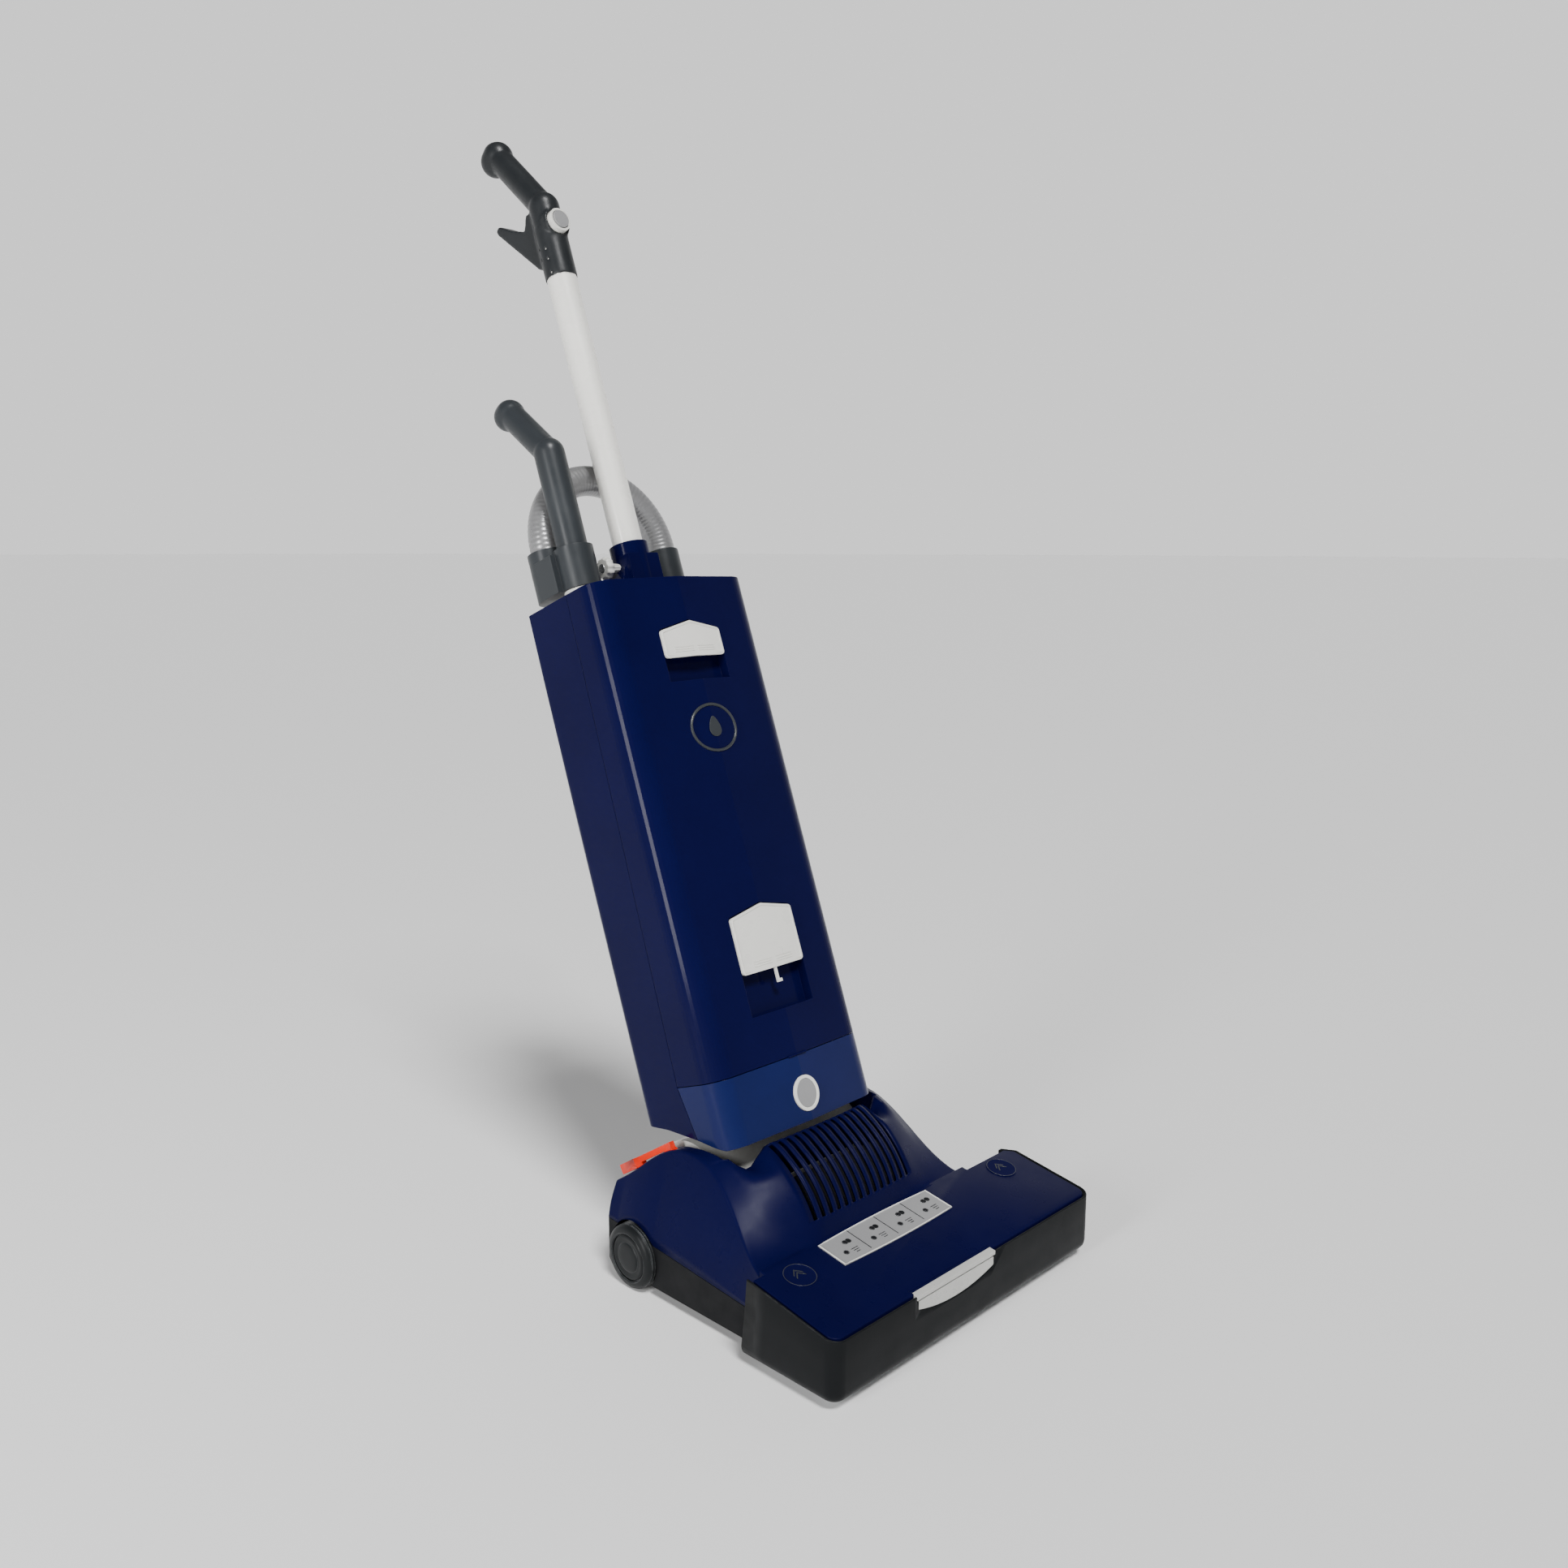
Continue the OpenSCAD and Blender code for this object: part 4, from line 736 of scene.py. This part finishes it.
def shell_object(name, verts, faces, slot, body, thickness):
    """An open surface given the wall of a moulding, grown to its inner side."""
    made = piece(name, verts, faces, slot, body, angle=38)
    face_outward(made.data)
    wall = made.modifiers.new("wall", "SOLIDIFY")
    wall.thickness = thickness * MM
    wall.offset = -1
    wall.use_even_offset = False
    wall.use_rim = True
    return made


def grid_faces(rows, columns, skip=None, start=0):
    """Faces between rows of points, apart from those that skip names."""
    faces = []
    for r in range(rows - 1):
        for c in range(columns - 1):
            if skip and skip(r, c):
                continue
            a = start + r * columns + c
            faces.append((a, a + 1, a + 1 + columns, a + columns))
    return faces


def build_hump():
    """The hump of the head's cover, one smooth moulding with its grille and its two cheeks."""
    slots, outermost, slot_start = 14, 66.0, 2.6
    pitch = 2 * outermost / (slots - 1)
    middles = [-outermost + i * pitch for i in range(slots)]
    edges = [middle + side * pitch / 4 for middle in middles for side in (-1, 1)]
    # front slope, with its slots left open, and the lip turned down behind it
    columns = sorted([-WELL, -104, -97, -90, -82, -76] + edges + [76, 82, 90, 97, 104, WELL])
    steps = [i / 8 for i in range(FRONT_END * 8 + 1)]
    lip = ((1.5, 0.8), (3.6, 2.4), (4.6, 5.0), (4.6, 40.0))
    verts = []
    for t in steps:
        for u in columns:
            point = across(t, abs(u))
            verts.append(head(u, point.y, point.z))
    for shift_y, sink in lip:
        for u in columns:
            point = across(FRONT_END - 1e-6, abs(u))
            verts.append(head(u, min(point.y + shift_y, 195.8), point.z - sink))

    def in_slot(r, c):
        middle = (columns[c] + columns[c + 1]) / 2
        inside = any(abs(middle - slot) < 0.1 for slot in middles)
        return inside and r <= len(steps) and slot_start <= steps[min(r, len(steps) - 1)]

    faces = grid_faces(len(steps) + len(lip), len(columns), in_slot)
    # shoulders and cheeks, from the well out over the ridge and down to the foot
    ends = [i / 8 for i in range((len(RIDGE) - 1) * 8 + 1)]
    for side in (-1, 1):
        start = len(verts)
        for t in ends:
            w, ry, rz = spline(RIDGE, t)
            top = [WELL + (w - 2.2 - WELL) * f for f in (0, 0.18, 0.36, 0.54, 0.72, 0.88, 1)]
            line = [across(t, u) for u in top]
            foot = Vector((CHEEK, ry, foot_z(ry)))
            crest = Vector((w, ry, rz))
            down = (foot - crest).normalized()
            under = crest + down * 2.4
            for f in (0.2, 0.4, 0.6, 0.8, 1.0):
                line.append(line[6] * (1 - f) ** 2 + crest * 2 * f * (1 - f) + under * f * f)
            for f in (0.1, 0.3, 0.5, 0.7, 0.9, 1.0):
                bulge = 1.6 * sin(pi * f)
                line.append(under.lerp(foot, f) + Vector((bulge, 0, 0)))
            verts += [head(side * p.x, p.y, p.z) for p in line]
        some = grid_faces(len(ends), len(line), None, start)
        faces += some if side > 0 else [face[::-1] for face in some]
        # inner wall of the cheek, along the well
        begin = len(verts)
        inner = [t for t in ends if across(t, WELL).y > 194]
        for t in inner:
            point = across(t, WELL)
            for z in (point.z, point.z * 0.66 + 20, 60):
                verts.append(head(side * WELL, point.y, z))
        some = grid_faces(len(inner), 3, None, begin)
        faces += some if side < 0 else [face[::-1] for face in some]
        # rear end of the cheek
        close = len(verts)
        w, ry, rz = spline(RIDGE, len(RIDGE) - 1)
        outline = [(WELL, COVER_FOOT), (WELL, rz), (w - 3, rz), (w - 1, rz - 0.8), (w, rz - 3),
                   (CHEEK, COVER_FOOT)]
        verts += [head(side * u, CHEEK_REAR, z) for u, z in outline]
        faces.append(tuple(close + i for i in range(len(outline)))[::side])
    hump = shell_object("smooth_hump", verts, faces, "navy_gloss", "head", 2.6)
    hump.data.materials[0] = MATERIALS["navy_satin"]
    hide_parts("top_cover")
    cut_pedal_slot(hump)


def cut_pedal_slot(hump):
    """Room for the pedal, at rest and pressed."""
    pivot = Vector(JOINTS["pedal_press"]["pos_m"])
    inner, rest_tilt = 112.7, -33
    parts = []
    for press in (0, 6, 13):
        turn = Matrix.Translation(pivot) @ Matrix.Rotation(radians(rest_tilt - press), 4, "X")
        for u0, u1, y0, y1, z0 in ((-0.5, 6.5, -9, 61, -9), (-0.5, 14.5, 45, 85, 0.5)):
            x0 = ORIGIN.x - (inner + u1) * MM - pivot.x
            x1 = ORIGIN.x - (inner + u0) * MM - pivot.x
            corners = [turn @ Vector((x, y * MM, z * MM)) for z in (z0, 60) for x, y in
                       ((x0, y0), (x1, y0), (x1, y1), (x0, y1))]
            parts.append((corners, BOX_FACES))
    carve(hump, parts)


def build_wing():
    """The flat front of the head's cover, with a softly rounded rim."""
    half, shift, r = BUMPER_HALF, BUMPER_SHIFT, BUMPER_CORNER
    inset, mouth, under_hump = 4.25, 58, WING_REAR + 2
    rear = WING_REAR - inset
    outline = arc(-half + r, r, r - inset, 180, 270, 8)
    outline += [(-mouth - shift, inset), (-mouth - shift, 7.5), (mouth - shift, 7.5), (mouth - shift, inset)]
    outline += arc(half - r, r, r - inset, 270, 360, 8)
    outline += [(half - inset, 93.2), (half - 12, rear), (CHEEK - shift, rear), (CHEEK - shift, under_hump),
                (-CHEEK - shift, under_hump), (-CHEEK - shift, rear), (-half + inset, rear)]
    centre = Vector((0, 50))
    rim = ((24, 0), (1.2, 0), (0.5, 0.2), (0.12, 0.7), (0, 1.3))
    verts = []
    for drop, pull in rim:
        for x, y in outline:
            arm = Vector((x, y)) - centre
            spot = centre + arm * (1 - pull / arm.length)
            verts.append(head(spot.x + shift, spot.y, wing_z(spot.y) - drop))
    faces = ring_faces(len(rim), len(outline), foot=False)
    shown = shell_object("smooth_wing", verts, faces, "navy_gloss", "head", 2.2)
    shown.data.materials[0] = MATERIALS["navy_satin"]


def build_bumper():
    """The dark surround: rounded corners, a soft lip at its top and a tuck under its foot."""
    half, rear, r = BUMPER_HALF, WING_REAR, BUMPER_CORNER
    low = BUMPER_LOW.z / MM
    side_foot, slant = low + 9, 7.0

    def outline(inset, back=0.0):
        path = [(-half + inset, rear + back - (24 + back / 4) * i) for i in range(4)]
        path += arc(-half + r, r, r - inset, 180, 270, 12)
        path += [(-half + r + (2 * half - 2 * r) * i / 16, inset) for i in range(1, 16)]
        path += arc(half - r, r, r - inset, 270, 360, 12)
        path += [(half - inset, 40), (half - inset, 68), (half - inset, rear - 12), (half - 12, rear - inset),
                 (half - 16, rear - inset)]
        return path

    tuck = [(low, 6.4), (low + 0.4, 4.6), (low + 1.6, 3.0), (low + 3.6, 1.5), (low + 6.2, 0.5),
            (side_foot, 0.06)]
    lip = [(-1.1, 0.0), (-0.4, 0.22), (-0.08, 0.7), (0.0, 1.2)]
    rings = [[(x, y, z) for x, y in outline(inset, slant)] for z, inset in tuck]
    for share in (0.35, 0.65):
        rings.append([(x, y, side_foot + (wing_z(y) - 9 - side_foot) * share)
                      for x, y in outline(0.0, slant * (1 - share))])
    for drop, inset in lip:
        rings.append([(x, y, wing_z(y) + drop) for x, y in outline(inset)])
    verts = [head(x + BUMPER_SHIFT, y, z) for ring in rings for x, y, z in ring]
    faces = grid_faces(len(rings), len(rings[0]))
    shown = shell_object("soft_bumper", verts, faces, "bumper_plastic", "head", 3.4)
    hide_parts("bumper")
    bow, wide = 190.5, 55.5
    mouth = [(-wide, 61), (wide, 61)]
    for i in range(25):
        u = wide - 2 * wide * i / 24
        mouth.append((u, 235 - sqrt(bow * bow - u * u)))
    carve(shown, [prism(mouth, -3, 9), prism([(-58, 61), (58, 61), (58, 80), (-58, 80)], -3, 7.5)])


def prism(outline, front, back):
    """A closed block with a front-view outline in mm, from front to back."""
    verts = [head(u, y, z) for y in (front, back) for u, z in outline]
    count = len(outline)
    faces = [tuple(range(count)), tuple(range(count, 2 * count))[::-1]]
    faces += [(i, i + count, (i + 1) % count + count, (i + 1) % count) for i in range(count)]
    return verts, faces


def carve(shown, blocks):
    """Cut closed blocks out of a piece and leave the result as its mesh."""
    for verts, faces in blocks:
        mesh = bpy.data.meshes.new("cutter")
        mesh.from_pydata([tuple(v) for v in verts], [], faces)
        finish_mesh(mesh)
        cutter = added("cutter", mesh)
        cut = shown.modifiers.new("cut", "BOOLEAN")
        cut.operation = "DIFFERENCE"
        cut.solver = "EXACT"
        cut.object = cutter
        bake(shown)
        bpy.data.objects.remove(cutter)
    shown.data.name = shown.name


def build_filter():
    """Pleated exhaust filter under the grille."""
    low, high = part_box("exhaust_filter")
    width = (high.x - low.x) / MM
    a, b = head(0, 117, 92), head(0, 148, 131)
    along = (b - a).normalized()
    inward = Vector((0, along.z, -along.y))
    run = (b - a).length
    pleats = 34
    verts, faces = [], []
    for i in range(pleats * 2 + 1):
        x = low.x + 2 * MM + (width - 4) * MM * i / (pleats * 2)
        depth = 0.6 * MM if i % 2 else 7.2 * MM
        for share in (0.02, 0.98):
            verts.append(Vector((x, a.y, a.z)) + along * run * share + inward * depth)
        for share in (0.98, 0.02):
            verts.append(Vector((x, a.y, a.z)) + along * run * share + inward * (depth + 0.6 * MM))
    for i in range(pleats * 2):
        for k in range(4):
            p = i * 4 + k
            q = i * 4 + (k + 1) % 4
            faces.append((p, q, q + 4, p + 4))
    faces.append((3, 2, 1, 0))
    end = pleats * 8
    faces.append((end, end + 1, end + 2, end + 3))
    made = piece("pleated_filter", verts, faces, SLOTS["exhaust_filter"], "head", angle=20)
    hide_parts("exhaust_filter")


# ---------------------------------------------------------------- upright details

def build_hose():
    """The stored hose: two straight legs and a half circle, with a fine helical rib."""
    span, foot, bend = 77.0, 577.4, 622.0
    depth = 96.0
    straight = bend - foot
    length = 2 * straight + pi * span
    pitch, per_rib = 4.6, 8
    count = int(length / pitch * per_rib)
    path, radii = [], []
    for i in range(count + 1):
        s = length * i / count
        if s < straight:
            u, v = -span, foot + s
        elif s > length - straight:
            u, v = span, foot + length - s
        else:
            turn = pi - (s - straight) / span
            u, v = span * cos(turn), bend + span * sin(turn)
        path.append(lean(u, depth, v))
        radii.append((15.8 + 0.12 * cos(2 * pi * s / pitch)) * MM)
    made = piece("ribbed_hose", *sweep(path, radii, 40), "hose_plastic", "upright", angle=60)
    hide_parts("hose")


def build_bag():
    """The fleece dust bag, part full: a closed pillow that sags and creases."""
    u0, u1, d0, d1, v0, v1 = -44, 90, 14, 108, 92, 484
    cu, cd = (u0 + u1) / 2, (d0 + d1) / 2
    rings, steps, power = 56, 72, 0.55
    verts = []
    for ring in range(rings + 1):
        share = ring / rings
        v = v0 + 2 + (v1 - v0 - 4) * share
        ends = min(share, 1 - share) * 2
        full = min(1.0, (1 - (1 - min(1.0, ends * 3.2)) ** 2) ** 0.5 + 0.02)
        sag = 1.0 - 0.10 * share
        half_u = (u1 - u0) / 2 - 2
        half_d = ((d1 - d0) / 2 - 2) * full * sag
        for turn in turns(steps):
            c, s = cos(turn), sin(turn)
            x = half_u * copysign(abs(c) ** power, c) * (0.93 + 0.07 * full)
            y = half_d * copysign(abs(s) ** power, s)
            crease = 0.8 * sin(v * 0.11 + 3 * sin(turn * 2)) + 0.5 * sin(v * 0.31 + turn * 5)
            y += crease * full * (1 if s > 0 else -1) * abs(s)
            x += 0.6 * sin(v * 0.19) * abs(c) * (1 if c > 0 else -1)
            y = max(d0 + 0.8 - cd, min(d1 - 0.8 - cd, y))
            x = max(u0 + 0.5 - cu, min(u1 - 0.5 - cu, x))
            verts.append(lean(cu + x, cd + y, v))
    bag = piece("dust_bag", verts, ring_faces(rings + 1, steps), "filter_paper", "upright", angle=70)
    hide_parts("filter_bag")
    seams = [sweep([lean(u, cd, v) for v in range(v0 + 16, v1 - 14, 12)], 0.9 * MM, 8)
             for u in (u0 + 2.5, u1 - 2.5)]
    piece("dust_bag_seams", *joined(seams), "filter_paper", "upright")


def front_d(u):
    """How far behind the front datum the door's face is at u, in mm."""
    return -KEEL + abs(u) * FRONT_SLOPE


def latch_outline(width, height, rise, inset):
    """A latch flap's outline in mm, with its top edge raised to a point in the middle."""
    w, h = width / 2 - inset, height / 2 - inset
    r = 4.0 - inset * 0.5
    return (arc(w - r, -h + r, r, -90, 0, 4) + arc(w - r, h - r, r, 10, 80, 4) + [(0, h + rise)]
            + arc(-w + r, h - r, r, 100, 170, 4) + arc(-w + r, -h + r, r, 180, 270, 4))


def build_latch_details():
    """A raised border and finger ribs on each cream latch."""
    for name, v, width, height in (("lower", 181.5, 84, 57), ("upper", 488.5, 79, 29)):
        path = [lean(u, front_d(u) - 1.55, v + dv) for u, dv in latch_outline(width, height, 8, 2.2)]
        rim = sweep(path, 0.55 * MM, 8, closed_path=True)
        piece(f"{name}_latch_rim", *rim, "cream_plastic", f"{name}_latch")
        ribs = []
        for k in range(3):
            dv = -height / 2 + 5.5 + k * 2.4
            for side in (-1, 1):
                path = [lean(side * u, front_d(u) - 1.45, v + dv) for u in (3, 14, 26)]
                ribs.append(sweep(path, 0.5 * MM, 8))
        piece(f"{name}_latch_ribs", *joined(ribs), "cream_plastic", f"{name}_latch")


def build_emblem():
    """A generic drop shape inside a plain oval ring."""
    low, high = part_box("emblem_ring")
    v = 399.5
    middle = lean(0, -KEEL - 0.1, v)
    wide = (high.x - low.x) / 2 - 1.5 * MM
    ring = [middle + SIDE * (wide * cos(a)) + UP * (wide * 0.82 * sin(a)) + BACK *
            (abs(wide * cos(a)) * FRONT_SLOPE) for a in turns(72)]
    shown = piece("emblem_oval", *sweep(ring, 1.5 * MM, 10, closed_path=True), "wand_plastic", "door")
    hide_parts("emblem_ring")
    placed = basis(lean(0, -KEEL - 0.15, v), -BACK, SIDE)
    drop = []
    for turn in turns(40):
        c, s = cos(turn), sin(turn)
        drop.append((7.5 * c * (1 - 0.25 * s), 9.5 * s + 2 * max(0, s) ** 3))
    piece("emblem_drop", *slab(drop, 0.0, 0.55, placed, 0.2), "wand_plastic", "door")


def fluted(turn):
    """Share of the knob's radius at a turn, for ten flutes."""
    return 1 + 0.05 * cos(10 * turn)


def build_clamp_knob():
    """The clamp's knob and its screw's end."""
    placed = basis(lean(-42, 58, 588), SIDE)
    profile = [(0.0, 6.5), (0.4, 9.6), (1.6, 10.6), (3.0, 11.3), (6.5, 11.3), (8.4, 10.4), (9.6, 9.0),
               (10.6, 5.2), (25.0, 4.0)]
    knob = piece("fluted_knob", *lathe(profile, placed, 120, fluted), "cream_plastic", "clamp")
    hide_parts("clamp_knob")
    boss = lathe([(-0.6, 3.0), (-0.5, 4.6), (0.3, 5.0), (0.6, 5.0)], placed, 40)
    piece("knob_screw", *boss, "steel", "clamp")


def build_screws():
    """Cross-head screws in the rear of the upright and of the head."""
    places = [(lean(u, 125 - 10 * v / 558 + 0.2, v), BACK, "upright")
              for u in (-86, 86) for v in (60, 300, 520)]
    places += [(head(u, CHEEK_REAR, 30), Vector((0, 1, 0)), "head") for u in (-90, 0, 90)]
    groups = {}
    for centre, axis, body in places:
        dome, cross = screw(centre, axis)
        domes, crosses = groups.setdefault(body, ([], []))
        domes.append(dome)
        crosses.append(cross)
    for body, (domes, crosses) in groups.items():
        piece(f"screw_heads_{body}", *joined(domes), "steel", body)
        # Black raised crosses: painted shade, standing in for the dark inside the screws' cross recesses
        piece(f"screw_recess_shade_{body}", *joined(crosses), "rubber", body)


def build_handle():
    """The handle casting with its corners blended, as moulded."""
    blended("handle_grip", "blended_handle", "handle_plastic", "upright", 14)
    blended("wand", "blended_wand", "wand_plastic", "wand_slider", 10)


def blended(source, name, slot, body, rounds):
    """A copy of a CAD node with its inside corners flowed together."""
    copy = added(name, frame["nodes"][source].data.copy())
    weld(copy)
    grid = copy.modifiers.new("grid", "REMESH")
    grid.mode = "VOXEL"
    grid.voxel_size = 1.3 * MM
    grid.use_smooth_shade = True
    flow = copy.modifiers.new("flow", "SMOOTH")
    flow.iterations = rounds
    flow.factor = 0.5
    bake(copy)
    copy.data.name = name
    copy.data.materials.clear()
    copy.data.materials.append(MATERIALS[slot])
    for face in copy.data.polygons:
        face.use_smooth = True
    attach(copy, body)
    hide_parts(source)


# ---------------------------------------------------------------- studio

def area_light(name, centre, target, width, height, power):
    """A rectangular softbox facing its target."""
    lamp = bpy.data.lights.new(name, "AREA")
    lamp.shape = "RECTANGLE"
    lamp.size = width
    lamp.size_y = height
    lamp.energy = power
    shown = added(name, lamp)
    shown.location = centre
    shown.rotation_euler = (Vector(target) - Vector(centre)).to_track_quat("-Z", "Y").to_euler()


def sun_light(name, heading, height, power, spread):
    """A distant soft light from a heading and height in degrees."""
    lamp = bpy.data.lights.new(name, "SUN")
    lamp.energy = power
    lamp.angle = radians(spread)
    shown = added(name, lamp)
    h, e = radians(heading), radians(height)
    toward = Vector((sin(h) * cos(e), -cos(h) * cos(e), sin(e)))
    shown.rotation_euler = (-toward).to_track_quat("-Z", "Y").to_euler()


def build_world():
    """Pale on the backdrop's side, dimmer to the other sides, darker overhead."""
    world = bpy.data.worlds.new("studio")
    bpy.context.scene.world = world
    world.use_nodes = True
    tree = world.node_tree
    place = node(tree, "ShaderNodeTexCoord")
    split = node(tree, "ShaderNodeSeparateXYZ")
    tree.links.new(place.outputs["Generated"], split.inputs["Vector"])
    toward = node(tree, "ShaderNodeVectorMath", operation="DOT_PRODUCT")
    backdrop_way = (0.714, 0.70, 0)
    toward.inputs[1].default_value = backdrop_way
    tree.links.new(place.outputs["Generated"], toward.inputs[0])
    side = remap(tree, toward.outputs["Value"], 0.36, 1.08, 0.1, 0.7)
    horizon = remap(tree, split.outputs["Z"], 1.08, 0.36, 0.01, 0.24)
    backdrop = node(tree, "ShaderNodeMath", operation="MAXIMUM")
    tree.links.new(side, backdrop.inputs[0])
    tree.links.new(horizon, backdrop.inputs[1])
    overhead = remap(tree, split.outputs["Z"], 1.0, 0.14, 0.34, 0.62)
    level = node(tree, "ShaderNodeMath", operation="MULTIPLY")
    tree.links.new(backdrop.outputs["Value"], level.inputs[0])
    tree.links.new(overhead, level.inputs[1])
    tree.links.new(level.outputs["Value"], tree.nodes["Background"].inputs["Strength"])
    tree.nodes["Background"].inputs["Color"].default_value = (1, 1, 1, 1)


def build_studio():
    """A wide pale floor, a soft key light and a softbox for the streak down the body's left corner."""
    mesh = bpy.data.meshes.new("floor")
    steps, size = 96, 60.0
    edge = [(size * cos(a), size * sin(a), 0) for a in turns(steps)]
    mesh.from_pydata(edge, [], [tuple(range(steps))])
    floor = added("floor", mesh)
    paint = bpy.data.materials.new("studio_floor")
    paint.use_nodes = True
    shader = paint.node_tree.nodes["Principled BSDF"]
    set_inputs(shader, {"Base Color": (0.86, 0.86, 0.86, 1), "Roughness": 0.95, "Specular IOR Level": 0.0})
    mesh.materials.append(paint)
    build_world()
    sun_light("key", -22, 58, 3.5, 16)
    area_light("softbox", (-2.6, -0.4, 1.0), (-0.05, 0, 0.5), 0.5, 1.3, 52)


def build_camera():
    """The viewing angle of the photograph: from the front left, a little above, with a wide lens."""
    azimuth, pitch, roll = (radians(a) for a in (-45.55, -10.02, 0.14))
    place_x, from_bumper, height, focal = -0.9722, -0.7036, 0.7206, 32.07
    ahead = Vector((-sin(azimuth) * cos(pitch), cos(azimuth) * cos(pitch),
                    sin(pitch)))
    level = Vector((cos(azimuth), sin(azimuth), 0))
    above = level.cross(ahead)
    right = level * cos(roll) + above * sin(roll)
    above = right.cross(ahead)
    lens = bpy.data.cameras.new("camera")
    lens.lens = focal
    lens.sensor_width = 36
    lens.clip_start = 0.01
    shown = added("camera", lens)
    placed = Matrix((right, above, -ahead)).transposed().to_4x4()
    placed.translation = Vector((place_x, BUMPER_LOW.y + from_bumper, height))
    shown.matrix_world = placed
    bpy.context.scene.camera = shown


build_camera()
build_materials()
dress_cad()
build_wheels()
build_brush()
build_bumper()
build_wing()
build_hump()
build_wing_details()
build_filter()
build_hose()
build_bag()
for shell in ("bag_door", "lower_cover", "rear_housing"):
    creased(shell, f"{shell}_shell")
build_latch_details()
build_emblem()
build_clamp_knob()
build_screws()
build_handle()
build_studio()
